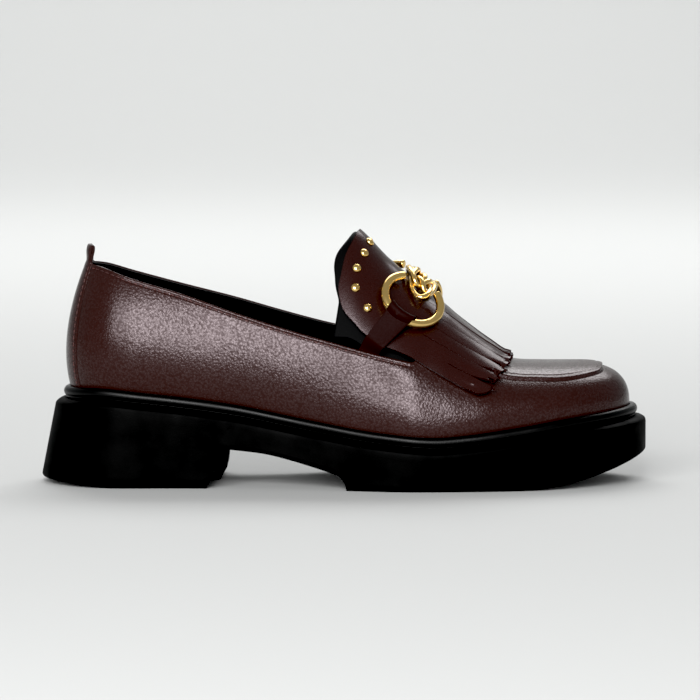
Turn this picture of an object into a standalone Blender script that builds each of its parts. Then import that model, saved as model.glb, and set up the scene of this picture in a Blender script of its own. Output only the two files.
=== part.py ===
"""A right kiltie loafer: moulded sole, welt bead, last-shaped upper, fringed kiltie and gilt trim.

Metres, +X to the toe, +Y to the medial side, +Z up. The origin is on the floor under the middle of
the sole. The upper's outer face is one function of a place round the feather line and a share of
the way up to the crown line, and tongue, kiltie, straps, rings and studs are set off from it.
"""

import math
from collections import namedtuple

import bmesh
import bpy
from mathutils import Vector

# Sole
SOLE_LENGTH = 0.280
BALL_WIDTH = 0.100
RIM_HEIGHT = 0.0385
HEEL_FLARE = 0.0062
TOE_SWING = 0.008
HEEL_ROUND = 0.037
TOE_ROUND = 0.056
RIM_WIDTH = 0.0042
RIM_RISE = 0.0015
RIM_EDGE = 0.0011
HEEL_LIFT = 0.0026
HEEL_LIFT_LENGTH = 0.036
TOE_SPRING = 0.014
TOE_SPRING_LENGTH = 0.060
BREAST_PLACE = 0.296
BREAST_CHAMFER = 0.006
BREAST_SLANT = 0.004
ARCH_HEIGHT = 0.0185
TREAD_STEP = 0.0064
TREAD_START = 0.491

# Welt bead and footbed
WELT_WIDTH = 0.0032
WELT_HEIGHT = 0.0048
INSOLE_THICKNESS = 0.0030
INSOLE_MARGIN = 0.0006

# Upper
WALL = 0.0018
CLEARANCE = 0.0003
INSTEP_HEIGHT = 0.118
COLLAR_HEIGHT = 0.102
LAST_BULGE = 0.008
APRON_STEP = 0.0012
BACK_STRIP_STEP = 0.0008
BACK_STRIP_REACH = 0.0165
THROAT_START = 0.609
THROAT_END = 0.682
HEEL_PITCH = 0.0150
HEEL_FAN = 0.200
TOE_BOX = 0.0235
TOE_FAN = 0.803

# Tongue and kiltie
TONGUE_THICKNESS = 0.0025
TONGUE_GAP = 0.0012
TONGUE_REACH = 0.060
KILTIE_THICKNESS = 0.0015
KILTIE_GAP = 0.0009
KILTIE_REACH = 0.050
KILTIE_SWELL = 0.08
STRIPS = 14
SLIT_WIDTH = 0.0008
TIP_SLANT = 0.0020

# Trim
RING_RADIUS = 0.0136
RING_WIRE = 0.0039
RING_TURN = 36.5
RING_PLACE = 0.604
RING_REACH = 0.0211
RING_LIFT = 0.0058
TRIM_SHIFT = 0.0032
STRAP_WIDTH = 0.013
STRAP_THICKNESS = 0.0013
STRAP_BASE = 0.5445
STRAP_TAIL = 0.010
STRAP_LAP = 0.008
KNOT_PLACE = 0.614
KNOT_RADIUS = 0.0052
KNOT_WAVE = 0.0023
KNOT_STRETCH = 2.25
KNOT_RISE = 0.0015
KNOT_WIRE = 0.0025
STUD_RADIUS = 0.0021
STUD_HEIGHT = 0.0014
TAB_WIDTH = 0.011
TAB_HEIGHT = 0.0078
TAB_PINCH = 0.70
TAB_THICKNESS = 0.0012

BACK = -SOLE_LENGTH / 2
RIM_BACK = BACK + HEEL_FLARE
RIM_LENGTH = SOLE_LENGTH - HEEL_FLARE
UPPER_INSET = RIM_WIDTH + WELT_WIDTH + CLEARANCE

# Half widths to each side, as shares of half the ball width, against the share of the sole's length
Plan = namedtuple("Plan", "along lateral medial")
PLAN = (
    Plan(0.00, 0.66, 0.66),
    Plan(0.12, 0.68, 0.68),
    Plan(0.25, 0.69, 0.68),
    Plan(0.40, 0.76, 0.69),
    Plan(0.52, 0.90, 0.80),
    Plan(0.62, 1.00, 0.94),
    Plan(0.71, 0.975, 1.00),
    Plan(0.80, 0.90, 0.98),
    Plan(0.90, 0.80, 0.92),
    Plan(1.00, 0.72, 0.86),
)

# Height of the sole's rim, as a share of the rim height over the heel
Rim = namedtuple("Rim", "along height")
RIM = (
    Rim(0.00, 0.965),
    Rim(0.09, 1.000),
    Rim(0.17, 0.952),
    Rim(0.31, 0.828),
    Rim(0.45, 0.636),
    Rim(0.56, 0.510),
    Rim(0.65, 0.462),
    Rim(0.70, 0.487),
    Rim(0.79, 0.571),
    Rim(0.87, 0.660),
    Rim(1.00, 0.764),
)

# Underside of the waist, as shares of the way from the breast to the tread and of the arch height
Arch = namedtuple("Arch", "way height")
ARCH = (
    Arch(0.00, 1.00),
    Arch(0.35, 0.88),
    Arch(0.62, 0.69),
    Arch(0.89, 0.46),
    Arch(1.00, 0.35),
)

# Last sections: bulge as a share of LAST_BULGE, heights as shares of the instep height, shoulder as
# a share of the way out to the feather line, and apron as the share of the section at its edge
Last = namedtuple("Last", "along bulge rise shoulder shoulder_height crown apron")
LAST = (
    Last(0.050, 0.62, 0.162, 1.02, 0.746, 1.000, 0.60),
    Last(0.120, 0.90, 0.175, 0.99, 0.800, 1.040, 0.60),
    Last(0.180, 1.00, 0.186, 0.93, 0.848, 1.060, 0.60),
    Last(0.286, 0.88, 0.170, 0.90, 0.856, 1.034, 0.60),
    Last(0.393, 0.75, 0.178, 0.84, 0.880, 1.017, 0.60),
    Last(0.500, 0.56, 0.165, 0.56, 0.998, 0.998, 0.60),
    Last(0.571, 0.56, 0.152, 0.60, 0.853, 0.853, 0.61),
    Last(0.625, 0.50, 0.133, 0.67, 0.744, 0.744, 0.62),
    Last(0.679, 0.56, 0.119, 0.75, 0.627, 0.627, 0.62),
    Last(0.732, 0.62, 0.114, 0.80, 0.525, 0.525, 0.62),
    Last(0.765, 0.62, 0.112, 0.84, 0.474, 0.474, 0.61),
    Last(0.800, 0.60, 0.110, 0.86, 0.462, 0.460, 0.60),
    Last(0.857, 0.50, 0.106, 0.85, 0.460, 0.458, 0.56),
    Last(0.929, 0.31, 0.100, 0.80, 0.460, 0.459, 0.62),
    Last(0.970, 0.10, 0.095, 0.77, 0.460, 0.460, 0.76),
)

# Height of the collar on each side, as a share of its height at the back
Collar = namedtuple("Collar", "along lateral medial")
COLLAR = (
    Collar(0.040, 1.000, 1.000),
    Collar(0.090, 0.982, 0.987),
    Collar(0.152, 0.932, 0.942),
    Collar(0.230, 0.870, 0.884),
    Collar(0.317, 0.788, 0.822),
    Collar(0.400, 0.716, 0.756),
    Collar(0.485, 0.651, 0.695),
    Collar(0.560, 0.598, 0.650),
    Collar(0.620, 0.562, 0.622),
)

# Edges of the kiltie, as shares of the sole's length, against the share of its reach from the ridge
Edge = namedtuple("Edge", "across top tip slit")
KILTIE = (
    Edge(0.00, 0.522, 0.773, 0.34),
    Edge(0.24, 0.512, 0.771, 0.36),
    Edge(0.42, 0.502, 0.766, 0.40),
    Edge(0.60, 0.496, 0.756, 0.46),
    Edge(0.74, 0.492, 0.745, 0.54),
    Edge(0.86, 0.496, 0.739, 0.70),
    Edge(0.95, 0.505, 0.729, 0.80),
    Edge(1.00, 0.528, 0.716, 0.86),
)

# Studs of one side, as shares of the sole's length and of the kiltie's reach
Stud = namedtuple("Stud", "along across")
STUDS = (
    Stud(0.536, 0.125),
    Stud(0.529, 0.320),
    Stud(0.519, 0.525),
    Stud(0.518, 0.720),
    Stud(0.538, 0.825),
)

LATERAL, MEDIAL = -1, 1


def smoothstep(value):
    value = min(max(value, 0.0), 1.0)
    return value * value * (3 - 2 * value)


def mix(a, b, share):
    return a + (b - a) * share


def column(table, name, at):
    """A table's column as a smooth curve through its rows, read at a place in its first column."""
    keys = [row[0] for row in table]
    values = [getattr(row, name) for row in table]
    at = min(max(at, keys[0]), keys[-1])
    k = max(i for i in range(len(keys) - 1) if keys[i] <= at)
    slopes = []
    for i in (k, k + 1):
        if i in (0, len(keys) - 1):
            slopes.append((values[k + 1] - values[k]) / (keys[k + 1] - keys[k]))
            continue
        before = (values[i] - values[i - 1]) / (keys[i] - keys[i - 1])
        after = (values[i + 1] - values[i]) / (keys[i + 1] - keys[i])
        slopes.append(0.0 if before * after <= 0 else 2 * before * after / (before + after))
    span = keys[k + 1] - keys[k]
    t = (at - keys[k]) / span
    return (
        values[k] * (2 * t**3 - 3 * t**2 + 1)
        + slopes[0] * span * (t**3 - 2 * t**2 + t)
        + values[k + 1] * (3 * t**2 - 2 * t**3)
        + slopes[1] * span * (t**3 - t**2)
    )


def along_of(x):
    return (x - BACK) / SOLE_LENGTH


def x_of(along):
    return BACK + along * SOLE_LENGTH


def ellipse(value, power=2.15):
    value = min(max(value, 0.0), 1.0)
    return (1 - (1 - value) ** power) ** (1 / power)


def share_of(turn):
    """Share of the length at a turn round an outline: 0 at the heel, half a turn at the toe."""
    return (1 - math.cos(turn)) / 2


def side_of(turn):
    return LATERAL if turn % math.tau <= math.pi else MEDIAL


def outline(turn, inset):
    """Point of the rim's outline, or of one moved in from it, in plan."""
    share = share_of(turn)
    length = RIM_LENGTH - 2 * inset
    x = RIM_BACK + inset + share * length
    side = side_of(turn)
    name = "lateral" if side == LATERAL else "medial"
    y = side * (column(PLAN, name, along_of(x)) * BALL_WIDTH / 2 - inset)
    toe = ellipse((1 - share) * length / (TOE_ROUND - inset))
    heel = ellipse(share * length / (HEEL_ROUND - inset))
    return Vector((x, mix(TOE_SWING, y, toe) * heel, 0))


def outward(turn, inset):
    step = 0.01
    run = outline(turn + step, inset) - outline(turn - step, inset)
    return Vector((run.y, -run.x, 0)).normalized()


def rim_height(x):
    return column(RIM, "height", along_of(x)) * RIM_HEIGHT


def bed_height(x):
    """Top of the sole inside the rim, where bead, upper and insole stand."""
    return rim_height(x) + RIM_RISE


def bezier(points, t):
    a, b, c, d = points
    return a * (1 - t) ** 3 + b * 3 * t * (1 - t) ** 2 + c * 3 * t * t * (1 - t) + d * t**3


SECTIONS = {}


def section(turn):
    """Control points of the upper's outer face, from the top of the bead up to the crown line."""
    key = round(turn % math.tau, 7)
    if key not in SECTIONS:
        foot = outline(turn, UPPER_INSET)
        along = along_of(foot.x)
        foot.z = bed_height(foot.x) + WELT_HEIGHT
        crown = Vector((crown_x(foot.x), crown_y(foot.x), column(LAST, "crown", along) * INSTEP_HEIGHT))
        side = foot + outward(turn, UPPER_INSET) * column(LAST, "bulge", along) * LAST_BULGE
        side.z += column(LAST, "rise", along) * INSTEP_HEIGHT
        shoulder = crown + (foot - crown) * column(LAST, "shoulder", along)
        shoulder.z = column(LAST, "shoulder_height", along) * INSTEP_HEIGHT
        SECTIONS[key] = (foot, side, shoulder, crown)
    return SECTIONS[key]


def crown_x(x):
    """The sections fan out round heel and toe, so the crown line is shorter than the feather line."""
    toe_start, heel_start = x_of(TOE_FAN), x_of(HEEL_FAN)
    toe_end = RIM_BACK + RIM_LENGTH - UPPER_INSET
    heel_end = RIM_BACK + UPPER_INSET
    if x > toe_start:
        run = toe_end - toe_start
        share = (x - toe_start) / run
        return toe_start + run * share - TOE_BOX * share**2
    if x < heel_start:
        run = heel_start - heel_end
        share = (heel_start - x) / run
        return heel_start - run * share + HEEL_PITCH * share**2
    return x


def crown_y(x):
    return TOE_SWING * smoothstep((along_of(x) - 0.60) / 0.36)


def skin(turn, t, lift=0.0):
    """Point of the upper's outer face, lifted along its normal."""
    point = bezier(section(turn), t)
    if not lift:
        return point
    direction = skin_normal(turn, t)
    if t > 0.9999:
        direction = (direction + skin_normal(math.tau - turn, t)).normalized()
    return point + direction * lift


def skin_normal(turn, t):
    step = 0.012
    run = bezier(section(turn + step), t) - bezier(section(turn - step), t)
    low, high = max(t - 0.01, 0.0), min(t + 0.01, 1.0)
    rise = bezier(section(turn), high) - bezier(section(turn), low)
    return run.cross(rise).normalized()


def share_at(along):
    """Share of the upper's own length at a share of the sole's."""
    return (x_of(along) - RIM_BACK - UPPER_INSET) / (RIM_LENGTH - 2 * UPPER_INSET)


def turn_at(x, side):
    turn = math.acos(1 - 2 * share_at(along_of(x)))
    return turn if side == LATERAL else math.tau - turn


def instep(x, across, lift=0.0):
    """Point over the instep at x, at a distance down the section from the crown line."""
    turn = turn_at(x, LATERAL if across < 0 else MEDIAL)
    points = section(turn)
    steps = 48
    left, before, t = abs(across), points[3], 1.0
    for i in range(1, steps + 1):
        here = bezier(points, 1 - i / steps)
        length = (here - before).length
        if length >= left:
            t = 1 - (i - 1 + left / length) / steps
            break
        left -= length
        before = here
    return skin(turn, t, lift)


def collar_share(turn):
    """Share of the section at the topline; 1 where the vamp closes over the instep."""
    x = section(turn)[0].x
    along = along_of(x)
    if along > THROAT_END - 0.00001:
        return 1.0
    name = "lateral" if side_of(turn) == LATERAL else "medial"
    height = column(COLLAR, name, along) * COLLAR_HEIGHT
    low, high = 0.0, 1.0
    for _ in range(30):
        middle = (low + high) / 2
        if bezier(section(turn), middle).z < height:
            low = middle
        else:
            high = middle
    return mix(low, 1.0, smoothstep((along - THROAT_START) / (THROAT_END - THROAT_START)))


def clear_scene():
    for obj in list(bpy.data.objects):
        bpy.data.objects.remove(obj, do_unlink=True)


def make_material(name, color, roughness, metallic=0.0):
    material = bpy.data.materials.new(name)
    material.use_nodes = True
    shader = material.node_tree.nodes["Principled BSDF"]
    shader.inputs["Base Color"].default_value = (*color, 1.0)
    shader.inputs["Roughness"].default_value = roughness
    shader.inputs["Metallic"].default_value = metallic
    return material


def finish_mesh(name, bm, material, collection, sharp=40.0):
    bmesh.ops.remove_doubles(bm, verts=bm.verts, dist=0.000002)
    bmesh.ops.recalc_face_normals(bm, faces=bm.faces)
    mesh = bpy.data.meshes.new(name)
    bm.to_mesh(mesh)
    bm.free()
    mesh.shade_smooth()
    mesh.set_sharp_from_angle(angle=math.radians(sharp))
    mesh.materials.append(material)
    obj = bpy.data.objects.new(name, mesh)
    collection.objects.link(obj)
    return obj


def add_rows(bm, rows, closed):
    """Rows of points as vertices, with quads between neighbouring rows."""
    verts = [[bm.verts.new(point) for point in row] for row in rows]
    for lower, upper in zip(verts, verts[1:]):
        count = len(lower)
        for i in range(count if closed else count - 1):
            j = (i + 1) % count
            bm.faces.new((lower[i], lower[j], upper[j], upper[i]))
    return verts


def add_ladder(bm, ring):
    """Faces across a ring, between the points of its two sides that stand at the same station."""
    count = len(ring)
    half = count // 2
    for i in range(half):
        near, far = ring[i], ring[(count - i) % count]
        next_near, next_far = ring[i + 1], ring[(count - i - 1) % count]
        corners = [near, next_near, next_far, far]
        distinct = [v for k, v in enumerate(corners) if v not in corners[:k]]
        bm.faces.new(distinct)


def stations(count, breaks=()):
    """Turns round an outline, alike on both sides, with the breaks among them."""
    turns = [math.pi * i / count for i in range(count + 1)]
    marks = [math.acos(1 - 2 * share) for share in breaks]
    spare = 0.35 * math.pi / count
    kept = [t for t in turns if all(abs(t - m) > spare for m in marks)]
    half = sorted(kept + marks)
    return half + [math.tau - t for t in reversed(half[1:-1])]


def tread_height(along):
    """Underside of the sole along its middle."""
    x = x_of(along)
    breast_top = BREAST_PLACE + 0.005
    if along < BREAST_PLACE - 0.012:
        return HEEL_LIFT * max(0.0, 1 - (x - BACK) / HEEL_LIFT_LENGTH) ** 2
    if along < breast_top:
        share = (along - BREAST_PLACE + 0.012) / 0.012
        if share <= 1:
            return BREAST_CHAMFER * share
        return mix(BREAST_CHAMFER, ARCH_HEIGHT * ARCH[0].height, (along - BREAST_PLACE) / 0.005)
    if along < TREAD_START:
        way = (along - breast_top) / (TREAD_START - breast_top)
        return column(ARCH, "height", way) * ARCH_HEIGHT
    if along < TREAD_START + 0.012:
        return TREAD_STEP * (1 - (along - TREAD_START) / 0.012) ** 0.6
    return TOE_SPRING * max(0.0, 1 - (SOLE_LENGTH / 2 - x) / TOE_SPRING_LENGTH) ** 1.8


def build_outsole(material, collection):
    breast = (-0.012, 0.0, 0.005, 0.020)
    step = (0.0, 0.003, 0.012)
    breaks = [BREAST_PLACE + d for d in breast] + [TREAD_START + d for d in step]
    turns = stations(30, breaks)

    def ring(inset, height):
        points = [outline(turn, inset) for turn in turns]
        return [Vector((p.x, p.y, height(p.x))) for p in points]

    def floor_ring(inset, lift):
        """The rim's outline drawn out to the full length, with the heel's flare and slanted breast."""
        points = []
        for turn in turns:
            share = share_of(turn)
            p = outline(turn, 0.0)
            out = outward(turn, 0.0)
            heel = 1 - smoothstep(share / 0.30)
            flare = HEEL_FLARE * heel * mix(0.25, 1.0, max(0.0, -out.x) ** 1.5)
            x = mix(p.x + out.x * flare, x_of(share), smoothstep(share / 0.25))
            slant = BREAST_SLANT * p.y / (BALL_WIDTH / 2)
            near_breast = math.exp(-(((share - BREAST_PLACE) / 0.06) ** 2))
            y = p.y + out.y * flare - out.y * inset
            height = tread_height(share) + lift
            points.append(Vector((x - out.x * inset + slant * near_breast, y, height)))
        return points

    bm = bmesh.new()
    rows = [
        ring(RIM_WIDTH, bed_height),
        ring(RIM_EDGE * 0.5, lambda x: rim_height(x) + 0.0002),
        ring(0.0, lambda x: rim_height(x) - RIM_EDGE),
        floor_ring(0.0, RIM_EDGE),
        floor_ring(RIM_EDGE, 0.0),
    ]
    verts = add_rows(bm, rows, closed=True)
    add_ladder(bm, verts[0])
    add_ladder(bm, verts[-1])
    return finish_mesh("outsole", bm, material, collection, 30)


def build_welt(material, collection):
    """Rounded bead lying on the sole's bed against the upper."""
    turns = stations(34)
    inner = RIM_WIDTH + WELT_WIDTH
    profile = (
        (inner, 0.0),
        (RIM_WIDTH + 0.0002, 0.0),
        (RIM_WIDTH - 0.0002, WELT_HEIGHT * 0.35),
        (RIM_WIDTH + 0.0001, WELT_HEIGHT * 0.72),
        (RIM_WIDTH + 0.0010, WELT_HEIGHT * 0.96),
        (inner, WELT_HEIGHT),
    )
    rows = []
    for turn in turns:
        row = []
        for inset, height in profile:
            point = outline(turn, inset)
            point.z = bed_height(outline(turn, RIM_WIDTH).x) + CLEARANCE + height
            row.append(point)
        rows.append(row)
    bm = bmesh.new()
    add_rows(bm, rows + [rows[0]], closed=True)
    return finish_mesh("welt", bm, material, collection, 60)


def build_insole(material, collection):
    turns = stations(24)
    inset = UPPER_INSET + WALL + INSOLE_MARGIN

    def ring(margin, lift):
        points = [outline(turn, inset + margin) for turn in turns]
        return [Vector((p.x, p.y, bed_height(p.x) + lift)) for p in points]

    bm = bmesh.new()
    top = CLEARANCE + INSOLE_THICKNESS
    rows = [ring(0.0, CLEARANCE), ring(0.0, top - 0.0008), ring(0.0010, top)]
    verts = add_rows(bm, rows, closed=True)
    add_ladder(bm, verts[0])
    add_ladder(bm, verts[-1])
    return finish_mesh("insole", bm, material, collection)


def build_upper(material, collection):
    """One hollow wall, open at the collar and underneath, stepped at the apron and the back strip."""
    strip = outline_share_at_reach(BACK_STRIP_REACH)
    throat = [share_at(mix(THROAT_START, THROAT_END, i / 7)) for i in range(8)]
    turns = stations(34, [strip, strip + 0.004] + throat)
    lower, higher = 4, 6
    edge_half = 0.007

    def rows_of(turn):
        along = along_of(section(turn)[0].x)
        top = collar_share(turn)
        vamp = smoothstep((along - 0.60) / 0.07)
        edge = mix(0.6 * top, column(LAST, "apron", along), vamp)
        shares = [(edge - edge_half) * i / lower for i in range(lower + 1)]
        shares += [mix(edge + edge_half, top, i / higher) for i in range(higher + 1)]
        return shares

    def step_of(turn, k):
        share = share_of(turn)
        if share <= strip + 0.0001:
            return BACK_STRIP_STEP
        along = along_of(section(turn)[0].x)
        return APRON_STEP * smoothstep((along - 0.63) / 0.05) if k > lower else 0.0

    outer, inner = [], []
    for turn in turns:
        out = outward(turn, UPPER_INSET)
        base = outline(turn, UPPER_INSET)
        base.z = bed_height(base.x) + CLEARANCE
        shares = rows_of(turn)
        outer.append([base] + [skin(turn, t, step_of(turn, k)) for k, t in enumerate(shares)])
        inner.append([base - out * WALL] + [skin(turn, t, -WALL) for t in shares])
        first = skin(turn, 0.0)
        outer[-1][1] = first
        inner[-1][1] = first - out * WALL

    bm = bmesh.new()
    wall_out = add_rows(bm, outer + [outer[0]], closed=False)
    wall_in = add_rows(bm, inner + [inner[0]], closed=False)
    for k, (a, b) in enumerate(zip(wall_out, wall_out[1:])):
        c, d = wall_in[k], wall_in[k + 1]
        bm.faces.new((a[0], b[0], d[0], c[0]))
        closed_top = all(collar_share(t) >= 1 for t in (turns[k], turns[(k + 1) % len(turns)]))
        if not closed_top:
            bm.faces.new((a[-1], b[-1], d[-1], c[-1]))
    return finish_mesh("upper", bm, material, collection, 50)


def outline_share_at_reach(reach):
    """Share of the length where the upper's outline is this far round from the middle of the heel."""
    turn, length = 0.0, 0.0
    step = 0.002
    while length < reach:
        length += (outline(turn + step, UPPER_INSET) - outline(turn, UPPER_INSET)).length
        turn += step
    return share_of(turn)


def kiltie_lift(x):
    """The kiltie lies on the vamp, and so rises over the apron's step."""
    return KILTIE_GAP + APRON_STEP * smoothstep((along_of(x) - 0.625) / 0.04)


def kiltie_edge(name, across):
    return x_of(column(KILTIE, name, min(abs(across) / KILTIE_REACH, 1.0)))


def build_tongue(material, collection):
    """Padded sheet under the kiltie that runs down inside the collar and under the vamp."""
    front = x_of(0.725)
    columns, rows_count = 18, 12
    rows = []
    for j in range(rows_count + 1):
        row = []
        for i in range(columns + 1):
            across = mix(-TONGUE_REACH, TONGUE_REACH, i / columns)
            over = max(0.0, abs(across) - KILTIE_REACH * 0.86)
            top = kiltie_edge("top", min(abs(across), KILTIE_REACH * 0.82)) - 0.0008 - 0.15 * over
            x = mix(top, front, j / rows_count)
            open_part = 1 - smoothstep((along_of(x) - 0.545) / 0.05)
            covered = 1 - smoothstep((abs(across) - KILTIE_REACH * 0.66) / 0.009)
            under = -WALL - TONGUE_GAP
            lift = mix(under, KILTIE_GAP - 2 * CLEARANCE, open_part * covered)
            row.append(instep(x, across, lift - TONGUE_THICKNESS))
        rows.append(row)
    bm = bmesh.new()
    add_rows(bm, rows, closed=False)
    tongue = finish_mesh("tongue", bm, material, collection)
    add_thickness(tongue, TONGUE_THICKNESS)
    return tongue


def add_thickness(obj, thickness):
    """Solidify outwards from the instep."""
    if obj.data.polygons[0].normal.z < 0:
        obj.data.flip_normals()
    solidify = obj.modifiers.new("thickness", "SOLIDIFY")
    solidify.thickness = thickness
    solidify.offset = 1.0
    return obj


def build_kiltie(material, collection):
    """Shield over the instep with its front cut into strips."""
    rows_count = 11
    width = 2 * KILTIE_REACH / STRIPS
    bm = bmesh.new()
    for strip in range(STRIPS):
        left = -KILTIE_REACH + strip * width
        slant = TIP_SLANT if left < -0.00001 else -TIP_SLANT
        rows = []
        for j in range(rows_count + 1):
            down = j / rows_count
            row = []
            for part in (0.0, 0.5, 1.0):
                across = left + part * width
                border = left if part == 0 else left + width
                start = column(KILTIE, "slit", abs(border) / KILTIE_REACH)
                opened = max(0.0, down - start) / (1 - start)
                cut = 0.0
                inside = KILTIE_REACH - abs(border) > width / 2
                if part != 0.5 and inside:
                    cut = (1 if part == 0 else -1) * SLIT_WIDTH / 2 * opened**0.5
                top, tip = kiltie_edge("top", across), kiltie_edge("tip", across)
                x = mix(top, tip, down) + slant * (part - 0.5) * opened
                curl = 0.0005 * (strip % 2) * smoothstep((down - 0.75) / 0.25)
                swell = 1 + KILTIE_SWELL * math.exp(-(((along_of(x) - 0.536) / 0.045) ** 2))
                row.append(instep(x, across * swell + cut, kiltie_lift(x) + curl * (part == 0.5)))
            rows.append(row)
        add_rows(bm, rows, closed=False)
    kiltie = finish_mesh("kiltie", bm, material, collection)
    return add_thickness(kiltie, KILTIE_THICKNESS)


def instep_normal(x, across):
    return (instep(x, across, 0.001) - instep(x, across)).normalized()


def place_on_instep(point, across):
    """Place over the instep, as x and the distance from the crown line, that lies under a point."""
    x, step = point.x, 0.0005
    for _ in range(6):
        here = instep(x, across)
        along = (instep(x + step, across) - here) / step
        down = (instep(x, across + step) - here) / step
        off = point - here
        a, b, c = along.dot(along), along.dot(down), down.dot(down)
        p, q = off.dot(along), off.dot(down)
        x += (p * c - q * b) / (a * c - b * b)
        across += (q * a - p * b) / (a * c - b * b)
    return x, across


def over_kiltie(x):
    """Lift of what lies on the kiltie."""
    return kiltie_lift(x) + KILTIE_THICKNESS + CLEARANCE


def ring_frame(side):
    """Centre of a ring, the way to the crown line in its plane, the way to the toe, and its normal."""
    x, across = x_of(RING_PLACE), side * RING_REACH - TRIM_SHIFT
    normal = instep_normal(x, across)
    inwards = Vector((0, -side, 0))
    inwards = (inwards - normal * inwards.dot(normal)).normalized()
    forwards = normal.cross(inwards) * side
    return instep(x, across, RING_LIFT), inwards, forwards, normal


def ring_point(side, angle):
    centre, inwards, forwards, _ = ring_frame(side)
    return centre + (inwards * math.cos(angle) + forwards * math.sin(angle)) * RING_RADIUS


def make_wire(name, points, depth, cyclic, sides, collection):
    """Round wire: a poly curve with a bevel."""
    curve = bpy.data.curves.new(name, "CURVE")
    curve.dimensions = "3D"
    curve.bevel_depth = depth
    curve.bevel_resolution = sides
    curve.use_fill_caps = True
    spline = curve.splines.new("POLY")
    spline.points.add(len(points) - 1)
    for place, point in zip(spline.points, points):
        place.co = (*point, 1.0)
    spline.use_cyclic_u = cyclic
    obj = bpy.data.objects.new(name, curve)
    collection.objects.link(obj)
    return obj


def wire_as_mesh(wire, collection):
    """The curve as a closed mesh, its caps welded on."""
    bpy.context.view_layer.update()
    evaluated = wire.evaluated_get(bpy.context.evaluated_depsgraph_get())
    mesh = bpy.data.meshes.new_from_object(evaluated)
    bm = bmesh.new()
    bm.from_mesh(mesh)
    bmesh.ops.remove_doubles(bm, verts=bm.verts, dist=0.000005)
    bmesh.ops.recalc_face_normals(bm, faces=bm.faces)
    bm.to_mesh(mesh)
    bm.free()
    obj = bpy.data.objects.new(wire.name + "_mesh", mesh)
    collection.objects.link(obj)
    obj.matrix_world = wire.matrix_world
    bpy.data.objects.remove(wire)
    return obj


def build_ring(name, side, material, collection):
    """Ring of round wire, open where it runs into the knot."""
    first = math.radians(RING_TURN)
    count = 26
    angles = [mix(first, math.tau - first, i / count) for i in range(count + 1)]
    points = [ring_point(side, angle) for angle in angles]
    ring = make_wire(name, points, RING_WIRE / 2, False, 2, collection)
    ring.data.materials.append(material)
    return ring


def ring_cutter(side, collection):
    """Room for the ring in the strap's loop."""
    count = 26
    first = math.radians(RING_TURN)
    angles = [mix(first, math.tau - first, i / count) for i in range(4, count - 3)]
    points = [ring_point(side, angle) for angle in angles]
    name = "ring_room_lateral" if side == LATERAL else "ring_room_medial"
    wire = make_wire(name, points, RING_WIRE / 2 + CLEARANCE, False, 2, collection)
    cutter = wire_as_mesh(wire, collection)
    cutter.hide_render = True
    cutter.display_type = "WIRE"
    return cutter


def arc_to(turn, t):
    """Distance down a section from the crown line."""
    points, steps = section(turn), 48
    places = [bezier(points, 1 - (1 - t) * i / steps) for i in range(steps + 1)]
    return sum((b - a).length for a, b in zip(places, places[1:]))


def build_strap(name, side, material, collection, cutters):
    """Strap from the topline over the kiltie, folded round the ring and back under itself.

    Where the kiltie covers the topline, as on the medial side, it is sewn on outside instead.
    """
    columns, runs, folds = 6, 8, 6
    fold = RING_WIRE / 2 + CLEARANCE + STRAP_THICKNESS
    lap = KILTIE_REACH * (1 + KILTIE_SWELL)
    middle = turn_at(x_of(STRAP_BASE), side)
    butted = arc_to(middle, collar_share(middle)) > lap + STRAP_LAP / 2
    seat = CLEARANCE - WALL if butted else CLEARANCE
    rows = []
    for i in range(columns + 1):
        off = mix(-STRAP_WIDTH / 2, STRAP_WIDTH / 2, i / columns)
        tube = ring_point(side, math.pi - off / RING_RADIUS)
        x_tube, across_tube = place_on_instep(tube, side * (RING_REACH + RING_RADIUS))
        x_base = x_of(STRAP_BASE) + off
        turn = turn_at(x_base, side)
        topline = arc_to(turn, collar_share(turn)) - CLEARANCE
        across_base = side * (topline if butted else lap + STRAP_LAP)
        bottom, top = [], []
        for j in range(1, runs + 1):
            way = (j + 0.6) / (runs + 0.6)
            x, across = mix(x_tube, x_base, way), mix(across_tube, across_base, way)
            run = abs(across - across_tube)
            past = smoothstep((abs(across) - lap) / (abs(across_base) - lap))
            low = mix(over_kiltie(x), seat, past)
            doubled = mix(2 * fold, 2 * STRAP_THICKNESS, smoothstep(run / STRAP_TAIL))
            thick = mix(doubled, STRAP_THICKNESS, smoothstep(run / STRAP_TAIL - 1))
            bottom.append(instep(x, across, low))
            top.append(instep(x, across, low + thick))
        down = ((bottom[0] + top[0]) / 2 - tube).normalized()
        up = instep_normal(x_tube, across_tube)
        up = (up - down * up.dot(down)).normalized()
        turns = [math.pi * k / folds for k in range(folds + 1)]
        bend = [tube - (up * math.cos(a) + down * math.sin(a)) * fold for a in turns]
        rows.append(list(reversed(bottom)) + bend + top)
    bm = bmesh.new()
    verts = add_rows(bm, rows, closed=True)
    for row in (verts[0], verts[-1]):
        count = len(row)
        for k in range(count // 2 - 1):
            bm.faces.new((row[k], row[k + 1], row[count - 2 - k], row[count - 1 - k]))
        if count % 2:
            middle = count // 2
            bm.faces.new((row[middle - 1], row[middle], row[middle + 1]))
    strap = finish_mesh(name, bm, material, collection)
    cut = strap.modifiers.new("ring_room", "BOOLEAN")
    cut.operation = "DIFFERENCE"
    cut.solver = "EXACT"
    cut.object = ring_cutter(side, cutters)
    return strap


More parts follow.
